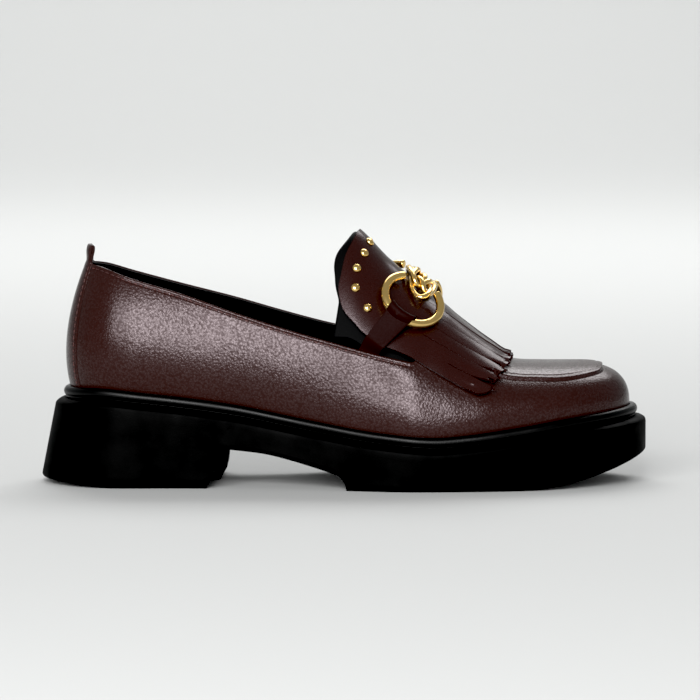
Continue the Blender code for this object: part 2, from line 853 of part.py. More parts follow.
def build_knot(material, collection):
    """Plaited ring of one wire, three strands by four bights, laid over the crown line."""
    strands, bights, count = 3, 4, 84
    centre_x = x_of(KNOT_PLACE)
    slope = instep(centre_x + 0.001, 0.0) - instep(centre_x - 0.001, 0.0)
    run = slope.x / slope.length
    points = []
    for i in range(count):
        turn = math.tau * strands * i / count
        wave = turn * bights / strands
        radius = KNOT_RADIUS + KNOT_WAVE * math.cos(wave)
        x = centre_x + radius * math.cos(turn) * run
        lift = over_kiltie(x) + KNOT_WIRE / 2 + KNOT_RISE * (1 + math.sin(2 * wave))
        across = radius * math.sin(turn) * KNOT_STRETCH - TRIM_SHIFT
        points.append(instep(x, across, lift))
    knot = make_wire("knot", points, KNOT_WIRE / 2, True, 1, collection)
    knot.data.materials.append(material)
    return knot


def build_studs(material, collection):
    """Domed studs in a row inside the kiltie's top edge."""
    mesh = bpy.data.meshes.new("stud")
    profile = ((0.0, 1.0), (0.55, 0.86), (0.88, 0.48), (1.0, 0.0), (0.0, 0.0))
    verts = [(share * STUD_RADIUS, 0, height * STUD_HEIGHT) for share, height in profile]
    mesh.from_pydata(verts, [(i, i + 1) for i in range(len(verts) - 1)], [])
    mesh.materials.append(material)
    number = 0
    for side in (LATERAL, MEDIAL):
        for row in STUDS:
            number += 1
            across = side * row.across * KILTIE_REACH
            x = x_of(row.along)
            stud = bpy.data.objects.new(f"stud_{number}", mesh)
            collection.objects.link(stud)
            stud.location = instep(x, across, over_kiltie(x))
            stud.rotation_mode = "QUATERNION"
            stud.rotation_quaternion = instep_normal(x, across).to_track_quat("Z", "Y")
            turned = stud.modifiers.new("turned", "SCREW")
            turned.steps = turned.render_steps = 12
            turned.use_merge_vertices = True
            turned.merge_threshold = 0.0001


def build_pull_tab(material, collection):
    """Folded loop astride the collar's back edge."""
    outside = BACK_STRIP_STEP + CLEARANCE + TAB_THICKNESS / 2
    inside = WALL + CLEARANCE + TAB_THICKNESS / 2
    reach = 0.0
    while abs(skin(reach, collar_share(reach)).y) < TAB_WIDTH / 2:
        reach += 0.002
    columns, folds = 6, 8
    rows = []
    for i in range(columns + 1):
        turn = mix(-reach, reach, i / columns)
        top = collar_share(turn)
        outer = [skin(turn, top - d, outside) for d in (0.030, 0.015, 0.0)]
        inner = [skin(turn, top - d, -inside) for d in (0.0, 0.015, 0.030)]
        radius = (outer[-1] - inner[0]).length / 2
        middle = (outer[-1] + inner[0]) / 2
        across = (outer[-1] - inner[0]).normalized()
        rise = Vector((0, 0, TAB_HEIGHT - radius))
        turns = [math.pi * k / folds for k in range(folds + 1)]
        bend = [
            middle + rise + across * radius * TAB_PINCH * math.cos(a) + Vector((0, 0, radius * math.sin(a)))
            for a in turns
        ]
        rows.append(outer + bend + inner)
    bm = bmesh.new()
    add_rows(bm, rows, closed=False)
    tab = finish_mesh("pull_tab", bm, material, collection)
    solidify = tab.modifiers.new("thickness", "SOLIDIFY")
    solidify.thickness = TAB_THICKNESS
    solidify.offset = 0.0
    return tab


def main():
    clear_scene()
    collection = bpy.data.collections.new("kiltie_loafer")
    cutters = bpy.data.collections.new("cutters")
    for group in (collection, cutters):
        bpy.context.scene.collection.children.link(group)
    leather = make_material("oxblood_leather", (0.045, 0.015, 0.013), 0.38)
    polished = make_material("polished_oxblood_leather", (0.040, 0.010, 0.010), 0.22)
    rubber = make_material("black_rubber", (0.006, 0.006, 0.006), 0.62)
    lining = make_material("black_lining", (0.008, 0.008, 0.009), 0.80)
    gilt = make_material("gilt_brass", (0.83, 0.56, 0.17), 0.18, 1.0)
    build_outsole(rubber, collection)
    build_welt(rubber, collection)
    build_insole(lining, collection)
    build_upper(leather, collection)
    build_tongue(lining, collection)
    build_kiltie(polished, collection)
    build_ring("ring_lateral", LATERAL, gilt, collection)
    build_ring("ring_medial", MEDIAL, gilt, collection)
    build_strap("strap_lateral", LATERAL, polished, collection, cutters)
    build_strap("strap_medial", MEDIAL, polished, collection, cutters)
    build_knot(gilt, collection)
    build_studs(gilt, collection)
    build_pull_tab(leather, collection)


main()
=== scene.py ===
"""Looks of the kiltie loafer: leather with grain, seams and stitches, moulded sole and gilt trim."""

import random
from collections import namedtuple
from math import acos, atan2, copysign, cos, degrees, exp, pi, radians, sin, sqrt, tau

import bpy
from mathutils import Matrix, Vector


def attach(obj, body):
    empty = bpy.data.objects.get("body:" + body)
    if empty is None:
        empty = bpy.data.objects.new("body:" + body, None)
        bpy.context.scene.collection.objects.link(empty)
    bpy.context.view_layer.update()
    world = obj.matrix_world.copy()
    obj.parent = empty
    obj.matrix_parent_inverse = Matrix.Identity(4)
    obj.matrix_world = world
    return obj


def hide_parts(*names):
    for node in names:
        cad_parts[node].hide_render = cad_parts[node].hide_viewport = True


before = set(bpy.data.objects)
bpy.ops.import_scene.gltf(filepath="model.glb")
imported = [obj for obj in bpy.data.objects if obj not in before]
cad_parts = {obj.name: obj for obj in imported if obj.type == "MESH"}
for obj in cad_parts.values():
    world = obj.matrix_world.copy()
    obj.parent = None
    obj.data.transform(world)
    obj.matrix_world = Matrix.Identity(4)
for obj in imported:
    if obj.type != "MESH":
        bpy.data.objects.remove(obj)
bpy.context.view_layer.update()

BODY = "root"

# Sizes of the sole, in metres, and places and runs as shares of its length
SOLE_LENGTH = 0.280
BALL_WIDTH = 0.100
RIM_HEIGHT = 0.0385
HEEL_FLARE = 0.0062
TOE_SWING = 0.008
HEEL_ROUND = 0.037
TOE_ROUND = 0.056
RIM_WIDTH = 0.0042
RIM_RISE = 0.0015
HEEL_LIFT = 0.0026
HEEL_LIFT_LENGTH = 0.036
TOE_SPRING = 0.014
TOE_SPRING_LENGTH = 0.060
BREAST_PLACE = 0.296
BREAST_CHAMFER = 0.006
BREAST_SLANT = 0.004
ARCH_HEIGHT = 0.0185
TREAD_STEP = 0.0064
TREAD_START = 0.491
WELT_WIDTH = 0.0032
WELT_HEIGHT = 0.0048
INSOLE_MARGIN = 0.0006
INSOLE_DISH = 0.0004
BREAST_RUN = 0.012
BREAST_RISE = 0.005
TREAD_STEP_RUN = 0.012
FLARE_REACH = 0.30
SLANT_REACH = 0.06
BEAD_CENTRE = 0.0021
BEAD_RADIUS = 0.0023
BEAD_FOOT = 0.0006
BEAD_START = -50
BEAD_TURN = 155
# Depth below the rim's top within which upward faces get the painted highlight rubber
RIM_HIGHLIGHT_DEPTH = 0.0018
BED_SHARE = 0.3

# Sizes of the upper
WALL = 0.0018
LEATHER = 0.0008
LINING_GAP = 0.0001
CLEARANCE = 0.0003
INSTEP_HEIGHT = 0.118
COLLAR_HEIGHT = 0.102
LAST_BULGE = 0.008
APRON_STEP = 0.0012
BACK_STRIP_STEP = 0.0008
BACK_STRIP_REACH = 0.0165
THROAT_START = 0.609
THROAT_END = 0.682
HEEL_PITCH = 0.0150
HEEL_FAN = 0.200
TOE_BOX = 0.0235
TOE_FAN = 0.803
SWING_START = 0.60
SWING_RUN = 0.36
VAMP_START = 0.60
VAMP_RUN = 0.07
APRON_START = 0.63
APRON_RUN = 0.05
APRON_ROUND = 0.0009
HEM_DEPTH = 0.0010
HEM_STEP = 0.00022
HEM_ROLL = 0.0006
HEM_SINK = 0.00040
BACK_STRIP_ROLL = 0.0007
BACK_STRIP_SKIVE = 0.00012
CREASE_BEND = 6.0
CREASE_SWELL = 0.55
MEDIAL_CREASE = 0.7
SECTION_STEPS = 48
STITCH_LENGTH = 0.0024
STITCH_WIDTH = 0.00050
STITCH_HEIGHT = 0.00042
STITCH_SINK = 1.2
STITCH_PITCH = 0.0030

# Sizes of the tongue, the kiltie and the trim
TONGUE_THICKNESS = 0.0025
TONGUE_GAP = 0.0012
TONGUE_REACH = 0.060
TONGUE_FRONT = 0.725
THROAT_TOP = 0.545
THROAT_TOP_RUN = 0.05
KILTIE_THICKNESS = 0.0015
KILTIE_GAP = 0.0009
LIFT_START = 0.625
LIFT_RUN = 0.04
KILTIE_REACH = 0.050
KILTIE_SWELL = 0.08
SWELL_PLACE = 0.536
SWELL_RUN = 0.045
STRIP_RISE = (0.0002, 0.0012)
STRIP_TILT = (-0.0005, 0.0005)
STRIP_SWAY = (-0.0003, 0.0003)
STRIP_SLANT = (0.0012, 0.0026)
STRIP_CURL = 0.00010
STRIP_POINT = 0.85
STRIP_TAPER = 0.00180
SLIT = 0.00015
# Share of the sole's length from which the kiltie's cut edges are coloured near black as painted shade
PAINTED_SHADE_FROM = 0.60
STRIPS = 14
RING_RADIUS = 0.0136
RING_WIRE = 0.0039
RING_TURN = 36.5
RING_PLACE = 0.604
RING_REACH = 0.0211
RING_LIFT = 0.0058
TRIM_SHIFT = 0.0032
STRAP_WIDTH = 0.013
STRAP_THICKNESS = 0.0013
STRAP_BASE = 0.5405
STRAP_TAPER = 0.70
STRAP_TURN = 0.0022
STRAP_TAIL = 0.010
STRAP_LAP = 0.008
FOLD_POWER = 0.4
KNOT_PLACE = 0.614
KNOT_RADIUS = 0.0052
KNOT_WAVE = 0.0023
KNOT_STRETCH = 2.25
KNOT_RISE = 0.0015
KNOT_WIRE = 0.0025
STUD_RADIUS = 0.0021
STUD_HEIGHT = 0.0014
STUD_SINK = 0.0002
TAB_WIDTH = 0.011
TAB_HEIGHT = 0.0078
TAB_PINCH = 0.55
TAB_THICKNESS = 0.0012
TAB_BELLY = 1.45
TAB_SEAT = 0.0008
TAB_LEAN = (-0.0002, 0.0014)
TAB_ENDS = (0.030, 0.020, 0.010, 0.002)

BACK = -SOLE_LENGTH / 2
RIM_BACK = BACK + HEEL_FLARE
RIM_LENGTH = SOLE_LENGTH - HEEL_FLARE
UPPER_INSET = RIM_WIDTH + WELT_WIDTH + CLEARANCE
LATERAL, MEDIAL = -1, 1
SIDES = {LATERAL: "lateral", MEDIAL: "medial"}

# Inset and drop of the sole's rim, inset and lift of its foot, steps of its wall, and the insole's edge
SOLE_RIM = (
    (RIM_WIDTH + 0.0010, -RIM_RISE),
    (RIM_WIDTH, -RIM_RISE + 0.0003),
    (0.0024, -0.0008),
    (0.0011, 0.0),
    (0.0005, 0.0005),
    (0.0002, 0.0010),
    (0.0, 0.0020),
)
SOLE_FOOT = ((0.0, 0.0014), (0.0001, 0.0008), (0.0005, 0.0003), (0.0014, 0.0))
SOLE_WALL = (0.12, 0.3, 0.5, 0.7, 0.88)
INSOLE_EDGE = (
    (0.0, 0.0), (0.0, 0.0018), (0.0003, 0.0025), (0.0009, 0.0029), (0.002, 0.0030), (0.006, 0.0029)
)

# Extra stations of the sole, as shares from the breast and from the tread's step
BREAST_STATIONS = (-0.012, -0.006, 0.0, 0.0025, 0.005, 0.012, 0.020)
TREAD_STATIONS = (0.0, 0.0015, 0.003, 0.006, 0.012)

# Grooves of seams and edges, and the dip in the tongue's top: place, width, depth
Groove = namedtuple("Groove", "place width depth")
APRON_FOOT = Groove(-0.0004, 0.00035, 0.00035)
APRON_SEAM = Groove(0.0027, 0.00040, 0.00022)
TOPLINE_SEAM = Groove(0.0020, 0.00045, 0.00016)
BACK_SEAM = Groove(0.0019, 0.0004, 0.00014)
TONGUE_DIP = Groove(0.023, 0.011, 0.0036)


def named_rows(columns, *rows):
    """A table whose rows have named columns."""
    row = namedtuple("Row", columns)
    return [row(*values) for values in rows]


# Half widths to each side, as shares of half the ball width, against the share of the sole's length
PLAN = named_rows(
    "along lateral medial",
    (0.00, 0.66, 0.66),
    (0.12, 0.68, 0.68),
    (0.25, 0.69, 0.68),
    (0.40, 0.76, 0.69),
    (0.52, 0.90, 0.80),
    (0.62, 1.00, 0.94),
    (0.71, 0.975, 1.00),
    (0.80, 0.90, 0.98),
    (0.90, 0.80, 0.92),
    (1.00, 0.72, 0.86),
)

# Height of the sole's rim, as a share of the rim height over the heel
RIM = named_rows(
    "along height",
    (0.00, 0.965),
    (0.09, 1.000),
    (0.17, 0.952),
    (0.31, 0.828),
    (0.45, 0.636),
    (0.56, 0.510),
    (0.65, 0.462),
    (0.70, 0.487),
    (0.79, 0.571),
    (0.87, 0.660),
    (1.00, 0.764),
)

# Underside of the waist, as shares of the way from the breast to the tread and of the arch height
ARCH = named_rows(
    "way height",
    (0.00, 1.00),
    (0.35, 0.88),
    (0.62, 0.69),
    (0.89, 0.46),
    (1.00, 0.35),
)

# Last sections, heights as shares of the instep height
LAST = named_rows(
    "along bulge rise shoulder shoulder_height crown apron",
    (0.050, 0.62, 0.162, 1.02, 0.746, 1.000, 0.60),
    (0.120, 0.90, 0.175, 0.99, 0.800, 1.040, 0.60),
    (0.180, 1.00, 0.186, 0.93, 0.848, 1.060, 0.60),
    (0.286, 0.88, 0.170, 0.90, 0.856, 1.034, 0.60),
    (0.393, 0.75, 0.178, 0.84, 0.880, 1.017, 0.60),
    (0.500, 0.56, 0.165, 0.56, 0.998, 0.998, 0.60),
    (0.571, 0.56, 0.152, 0.60, 0.853, 0.853, 0.61),
    (0.625, 0.50, 0.133, 0.67, 0.744, 0.744, 0.62),
    (0.679, 0.56, 0.119, 0.75, 0.627, 0.627, 0.62),
    (0.732, 0.62, 0.114, 0.80, 0.525, 0.525, 0.62),
    (0.765, 0.62, 0.112, 0.84, 0.474, 0.474, 0.61),
    (0.800, 0.60, 0.110, 0.86, 0.462, 0.460, 0.60),
    (0.857, 0.50, 0.106, 0.85, 0.460, 0.458, 0.56),
    (0.929, 0.31, 0.100, 0.80, 0.460, 0.459, 0.62),
    (0.970, 0.10, 0.095, 0.77, 0.460, 0.460, 0.76),
)

# Height of the collar on each side, as a share of its height at the back
COLLAR = named_rows(
    "along lateral medial",
    (0.040, 1.000, 1.000),
    (0.090, 0.982, 0.987),
    (0.152, 0.932, 0.942),
    (0.230, 0.870, 0.884),
    (0.317, 0.788, 0.822),
    (0.400, 0.716, 0.756),
    (0.485, 0.651, 0.695),
    (0.560, 0.598, 0.650),
    (0.620, 0.562, 0.622),
)

# Edges of the kiltie, as shares of the sole's length, against the share of its reach from the ridge
KILTIE = named_rows(
    "across top tip slit",
    (0.00, 0.522, 0.773, 0.34),
    (0.24, 0.512, 0.771, 0.36),
    (0.42, 0.502, 0.766, 0.40),
    (0.60, 0.496, 0.756, 0.46),
    (0.74, 0.492, 0.745, 0.54),
    (0.86, 0.496, 0.739, 0.70),
    (0.95, 0.505, 0.729, 0.80),
    (1.00, 0.528, 0.716, 0.86),
)

# Studs of one side
STUDS = named_rows(
    "along across",
    (0.536, 0.125),
    (0.529, 0.320),
    (0.519, 0.525),
    (0.518, 0.720),
    (0.538, 0.825),
)

# Soft creases of the leather: where, how long, how wide, how they run, how deep
CREASES = named_rows(
    "x arc length width slant depth",
    (-0.0440, 0.0400, 0.030, 0.0070, -0.20, 0.00008),
    (0.0190, 0.0310, 0.016, 0.0075, -0.35, 0.00070),
    (0.0430, 0.0170, 0.018, 0.0040, -0.95, 0.00010),
    (0.0700, 0.0170, 0.014, 0.0040, -1.10, 0.00008),
)

# Profile of the backdrop from front to back, in metres
SWEEP = ((-4.0, 0), (-1.0, 0), (1.0, 0), (2.4, 0), (2.8, 0.05), (3.1, 0.22), (3.25, 0.6), (3.3, 4.0))
SWEEP_WIDTHS = (-4.0, -1.0, 1.0, 4.0)

# Soft lights with what they aim at, in metres and watts
LIGHTS = named_rows(
    "name place target width height power",
    ("key", (-0.8045, -2.0476, 0.949), (0.0, 0.0, 0.06), 1.175, 1.08, 43.0),
    ("front", (-0.077, -2.1987, 0.779), (0.0, 0.0, 0.06), 0.346, 1.20, 36.0),
    ("behind", (0.25, 1.7, 1.9), (0.0, 0.3, 0.0), 2.4, 1.2, 46.0),
    ("backdrop", (0.0, 1.6, 2.3), (0.0, 3.3, 0.9), 2.6, 0.6, 41.0),
)


def smoothstep(value):
    value = min(max(value, 0.0), 1.0)
    return value * value * (3 - 2 * value)


def mix(a, b, share):
    return a + (b - a) * share


def spread(first, last, count):
    """Even steps from first to last, without the last."""
    return [mix(first, last, i / count) for i in range(count)]


def hump(offset, width):
    """Bell curve, 1 where the offset is none."""
    return exp(-((offset / width) ** 2))


def rolled(value):
    """Quarter circle from 0 to 1, the profile of a rolled edge."""
    return sqrt(1 - (1 - min(max(value, 0.0), 1.0)) ** 2)


def squared(value, power):
    """A sine or cosine drawn out towards its extremes, for a squarish fold."""
    return copysign(abs(value) ** power, value)


def groove_at(groove, place):
    return groove.depth * hump(place - groove.place, groove.width)


def column(table, name, at):
    """A table's column as a smooth curve through its rows, read at a place in its first column."""
    keys = [row[0] for row in table]
    values = [getattr(row, name) for row in table]
    rises = [(values[i + 1] - values[i]) / (keys[i + 1] - keys[i]) for i in range(len(keys) - 1)]
    at = min(max(at, keys[0]), keys[-1])
    k = max(i for i in range(len(rises)) if keys[i] <= at)
    slopes = []
    for i in (k, k + 1):
        before, after = rises[max(i - 1, 0)], rises[min(i, len(rises) - 1)]
        slopes.append(0.0 if before * after <= 0 else 2 * before * after / (before + after))
    span = keys[k + 1] - keys[k]
    t = (at - keys[k]) / span
    return (
        values[k] * (2 * t**3 - 3 * t**2 + 1)
        + slopes[0] * span * (t**3 - 2 * t**2 + t)
        + values[k + 1] * (3 * t**2 - 2 * t**3)
        + slopes[1] * span * (t**3 - t**2)
    )


def along_of(x):
    return (x - BACK) / SOLE_LENGTH


def x_of(along):
    return BACK + along * SOLE_LENGTH


def ellipse(value, power=2.15):
    value = min(max(value, 0.0), 1.0)
    return (1 - (1 - value) ** power) ** (1 / power)


def share_of(turn):
    return (1 - cos(turn)) / 2


def turn_of(share):
    return acos(1 - 2 * share)


def side_of(turn):
    return LATERAL if turn % tau <= pi else MEDIAL


def outline(turn, inset):
    """Point of the rim's outline, or of one moved in from it, in plan."""
    share = share_of(turn)
    length = RIM_LENGTH - 2 * inset
    x = RIM_BACK + inset + share * length
    side = side_of(turn)
    y = side * (column(PLAN, SIDES[side], along_of(x)) * BALL_WIDTH / 2 - inset)
    toe = ellipse((1 - share) * length / (TOE_ROUND - inset))
    heel = ellipse(share * length / (HEEL_ROUND - inset))
    return Vector((x, mix(TOE_SWING, y, toe) * heel, 0))


def outward(turn, inset):
    step = 0.01
    run = outline(turn + step, inset) - outline(turn - step, inset)
    return Vector((run.y, -run.x, 0)).normalized()


def rim_height(x):
    return column(RIM, "height", along_of(x)) * RIM_HEIGHT


def bed_height(x):
    return rim_height(x) + RIM_RISE


def bezier(points, t):
    a, b, c, d = points
    return a * (1 - t) ** 3 + b * 3 * t * (1 - t) ** 2 + c * 3 * t * t * (1 - t) + d * t**3


SECTIONS = {}


def section(turn):
    """Control points of the upper's outer face, from the top of the bead up to the crown line."""
    key = round(turn % tau, 7)
    if key not in SECTIONS:
        foot = outline(turn, UPPER_INSET)
        along = along_of(foot.x)
        foot.z = bed_height(foot.x) + WELT_HEIGHT
        crown = Vector((crown_x(foot.x), crown_y(foot.x), column(LAST, "crown", along) * INSTEP_HEIGHT))
        side = foot + outward(turn, UPPER_INSET) * column(LAST, "bulge", along) * LAST_BULGE
        side.z += column(LAST, "rise", along) * INSTEP_HEIGHT
        shoulder = crown + (foot - crown) * column(LAST, "shoulder", along)
        shoulder.z = column(LAST, "shoulder_height", along) * INSTEP_HEIGHT
        SECTIONS[key] = (foot, side, shoulder, crown)
    return SECTIONS[key]


def crown_x(x):
    """Place of the crown line over a place at the foot, drawn back over the toe and in over the heel."""
    toe_start, heel_start = x_of(TOE_FAN), x_of(HEEL_FAN)
    toe_end, heel_end = RIM_BACK + RIM_LENGTH - UPPER_INSET, RIM_BACK + UPPER_INSET
    toe = max(0.0, (x - toe_start) / (toe_end - toe_start))
    heel = max(0.0, (heel_start - x) / (heel_start - heel_end))
    return x - TOE_BOX * toe**2 + HEEL_PITCH * heel**2


def crown_y(x):
    return TOE_SWING * smoothstep((along_of(x) - SWING_START) / SWING_RUN)


def skin(turn, t, lift=0.0):
    """Point of the upper's outer face, lifted along its normal."""
    point = bezier(section(turn), t)
    if not lift:
        return point
    direction = skin_normal(turn, t)
    if t > 0.9999:
        direction = (direction + skin_normal(tau - turn, t)).normalized()
    return point + direction * lift


def around(t):
    """Shares just below and just above one."""
    return max(t - 0.01, 0.0), min(t + 0.01, 1.0)


def skin_normal(turn, t):
    step = 0.012
    low, high = around(t)
    run = skin(turn + step, t) - skin(turn - step, t)
    rise = skin(turn, high) - skin(turn, low)
    return run.cross(rise).normalized()


def share_at(along):
    return (x_of(along) - RIM_BACK - UPPER_INSET) / (RIM_LENGTH - 2 * UPPER_INSET)


def turn_at(x, side):
    turn = turn_of(share_at(along_of(x)))
    return turn if side == LATERAL else tau - turn


def instep(x, across, lift=0.0):
    """Point over the instep at x, at a distance down the section from the crown line."""
    turn = turn_at(x, LATERAL if across < 0 else MEDIAL)
    points = section(turn)
    left, before, t = abs(across), points[3], 1.0
    for i in range(1, SECTION_STEPS + 1):
        here = bezier(points, 1 - i / SECTION_STEPS)
        length = (here - before).length
        if length >= left:
            t = 1 - (i - 1 + left / length) / SECTION_STEPS
            break
        left -= length
        before = here
    return skin(turn, t, lift)


def instep_normal(x, across):
    return (instep(x, across, 0.001) - instep(x, across)).normalized()


def place_on_instep(point, across):
    """Place over the instep, as x and the distance from the crown line, that lies under a point."""
    x, step = point.x, 0.0005
    for _ in range(6):
        here = instep(x, across)
        along = (instep(x + step, across) - here) / step
        down = (instep(x, across + step) - here) / step
        off = point - here
        a, b, c = along.dot(along), along.dot(down), down.dot(down)
        p, q = off.dot(along), off.dot(down)
        x += (p * c - q * b) / (a * c - b * b)
        across += (q * a - p * b) / (a * c - b * b)
    return x, across


def foot_along(turn):
    return along_of(section(turn)[0].x)


def collar_share(turn):
    """Share of the section at the topline; 1 where the vamp closes over the instep."""
    along = foot_along(turn)
    if along > THROAT_END - 0.00001:
        return 1.0
    height = column(COLLAR, SIDES[side_of(turn)], along) * COLLAR_HEIGHT
    low, high = 0.0, 1.0
    for _ in range(30):
        middle = (low + high) / 2
        if skin(turn, middle).z < height:
            low = middle
        else:
            high = middle
    return mix(low, 1.0, smoothstep((along - THROAT_START) / (THROAT_END - THROAT_START)))


def pace(turn, t):
    """Metres up the section for a unit of share."""
    low, high = around(t)
    return (skin(turn, high) - skin(turn, low)).length / (high - low)


def arc_to(turn, t):
    """Distance down a section from the crown line."""
    places = [skin(turn, 1 - (1 - t) * i / SECTION_STEPS) for i in range(SECTION_STEPS + 1)]
    return sum((b - a).length for a, b in zip(places, places[1:]))


def kiltie_lift(x):
    return KILTIE_GAP + APRON_STEP * smoothstep((along_of(x) - LIFT_START) / LIFT_RUN)


def over_kiltie(x):
    return kiltie_lift(x) + KILTIE_THICKNESS + CLEARANCE


def kiltie_edge(name, across):
    return x_of(column(KILTIE, name, min(abs(across) / KILTIE_REACH, 1.0)))


def stations(count, breaks=()):
    """Turns once round an outline and back to the first, alike on both sides, with the breaks in it."""
    turns = [pi * i / count for i in range(count + 1)]
    marks = [turn_of(share) for share in breaks]
    spare = 0.35 * pi / count
    kept = [t for t in turns if all(abs(t - m) > spare for m in marks)]
    half = sorted(kept + marks)
    return half + [tau - t for t in reversed(half[1:-1])] + half[:1]


def level_row(turns, inset, height, lift):
    """The outline at an inset, each point at the height that a function of x gives, plus a lift."""
    row = [outline(turn, inset) for turn in turns]
    for point in row:
        point.z = height(point.x) + lift
    return row


def drawn_in(row, share):
    """A row of points drawn in to the middle line."""
    return [Vector((p.x, share * p.y, p.z)) for p in row]


def turn_at_reach(reach):
    """Turn where the upper's outline is this far round from the middle of the heel."""
    turn, length, step = 0.0, 0.0, 0.002
    while length < reach:
        length += (outline(turn + step, UPPER_INSET) - outline(turn, UPPER_INSET)).length
        turn += step
    return turn


# Making and finishing pieces
def deselect():
    bpy.ops.object.select_all(action="DESELECT")


def pick(obj):
    """Make one object the only one that operators act on."""
    deselect()
    obj.select_set(True)
    bpy.context.view_layer.objects.active = obj


def edit(obj, *steps, chosen=None):
    """Run mesh operators in edit mode on the whole of a piece, or on the faces that a test chooses."""
    pick(obj)
    if chosen:
        bpy.context.tool_settings.mesh_select_mode = (False, False, True)
        for parts in (obj.data.vertices, obj.data.edges):
            parts.foreach_set("select", [False] * len(parts))
        for face in obj.data.polygons:
            face.select = chosen(face)
    bpy.ops.object.mode_set(mode="EDIT")
    if not chosen:
        bpy.ops.mesh.select_all(action="SELECT")
    for operator, settings in steps:
        getattr(bpy.ops.mesh, operator)(**settings)
    bpy.ops.object.mode_set(mode="OBJECT")


def modify(obj, kind, **settings):
    """Add a modifier and apply it."""
    modifier = obj.modifiers.new(kind.lower(), kind)
    for name, value in settings.items():
        setattr(modifier, name, value)
    pick(obj)
    bpy.ops.object.modifier_apply(modifier=modifier.name)


def bevel(obj, width, segments, angle):
    limit = radians(angle)
    modify(obj, "BEVEL", width=width, segments=segments, limit_method="ANGLE", angle_limit=limit)


def face_out(obj):
    edit(obj, ("normals_make_consistent", {"inside": False}))


def shaped_grid(name, rows, weld=False):
    """A grid primitive, each of its points moved to its place in the rows."""
    deselect()
    width = len(rows[0])
    bpy.ops.mesh.primitive_grid_add(x_subdivisions=width - 1, y_subdivisions=len(rows) - 1, size=0.1)
    obj = bpy.context.object
    obj.name = obj.data.name = name
    obj.data.vertices.foreach_set("co", [value for row in rows for point in row for value in point])
    obj.data.update()
    if weld:
        edit(obj, ("remove_doubles", {"threshold": 0.00001}))
    return obj


def face_away(obj, height=0.02):
    """Turn a sheet's faces away from a line that runs inside the shoe."""
    out = 0.0
    for face in obj.data.polygons:
        centre = face.center
        out += face.normal.dot(centre - Vector((centre.x, 0, height))) * face.area
    if out < 0:
        obj.data.flip_normals()


def smooth(obj, angle=40):
    pick(obj)
    bpy.ops.object.shade_smooth_by_angle(angle=radians(angle))


def upper_sheet(name, rows, thickness, weld=True):
    """A sheet of the upper, given its thickness inwards."""
    sheet = shaped_grid(name, rows, weld)
    face_away(sheet, 0.04)
    modify(sheet, "SOLIDIFY", thickness=thickness, offset=-1.0)
    smooth(sheet, 60)
    return sheet


def dress(obj, slot, materials, *nodes):
    """Give a piece its materials, its body and the solids that it stands for."""
    obj.data.materials.clear()
    for material in materials:
        obj.data.materials.append(material)
    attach(obj, BODY)
    if nodes:
        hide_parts(*nodes)


def add_object(name, data):
    made = bpy.data.objects.new(name, data)
    bpy.context.collection.objects.link(made)
    return made


def copy_to(obj, name, matrix):
    """A copy with its own mesh, moved to its place."""
    copy = add_object(name, obj.data.copy())
    copy.data.name = name
    copy.data.transform(matrix)
    return copy


def join(parts, name):
    deselect()
    for part in parts:
        part.select_set(True)
    bpy.context.view_layer.objects.active = parts[0]
    bpy.ops.object.join()
    parts[0].name = parts[0].data.name = name
    return parts[0]


# Materials
def linear(code):
    """Linear colour of an sRGB hex value."""
    values = [int(code[i:i + 2], 16) / 255 for i in (1, 3, 5)]
    values = [v / 12.92 if v <= 0.04045 else ((v + 0.055) / 1.055) ** 2.4 for v in values]
    return (*values, 1.0)


def add_node(tree, kind, sockets=None, **settings):
    """A node with its settings; each socket takes a value or another node's output."""
    made = tree.nodes.new(kind)
    for name, value in settings.items():
        setattr(made, name, value)
    for name, value in (sockets or {}).items():
        if isinstance(value, bpy.types.NodeSocket):
            tree.links.new(value, made.inputs[name])
        else:
            made.inputs[name].default_value = value
    return made


def new_material(name, **sockets):
    """A material with its own Principled shader, set directly on the shader's sockets."""
    material = bpy.data.materials.new(name)
    material.use_nodes = True
    tree = material.node_tree
    shader = tree.nodes["Principled BSDF"]
    for socket, value in sockets.items():
        shader.inputs[socket.replace("_", " ").title().replace("Ior", "IOR")].default_value = value
    place = add_node(tree, "ShaderNodeTexCoord").outputs["Object"]
    return material, tree, shader, place


def noise(tree, place, scale, detail):
    texture = add_node(tree, "ShaderNodeTexNoise", {"Vector": place, "Scale": scale, "Detail": detail})
    return texture.outputs["Fac"]


def dye(tree, shader, factor, deep, pale):
    """Base colour that goes from deep to pale with a texture."""
    tint = add_node(
        tree, "ShaderNodeMix", {"Factor": factor, "A": linear(deep), "B": linear(pale)}, data_type="RGBA"
    )
    tree.links.new(tint.outputs["Result"], shader.inputs["Base Color"])


def vary(tree, shader, socket, value, reads, gives):
    """A socket that follows a texture, from the range that it reads to the range that it gives."""
    ranged = add_node(
        tree, "ShaderNodeMapRange",
        {"Value": value, "From Min": reads[0], "From Max": reads[1],
         "To Min": gives[0], "To Max": gives[1]},
    )
    tree.links.new(ranged.outputs["Result"], shader.inputs[socket])


def emboss(tree, shader, height, strength, distance, under=None, **settings):
    """Relief from a texture, on top of another relief where one is given."""
    sockets = {"Height": height, "Strength": strength, "Distance": distance}
    if under:
        sockets["Normal"] = under.outputs["Normal"]
    relief = add_node(tree, "ShaderNodeBump", sockets, **settings)
    tree.links.new(relief.outputs["Normal"], shader.inputs["Normal"])
    return relief


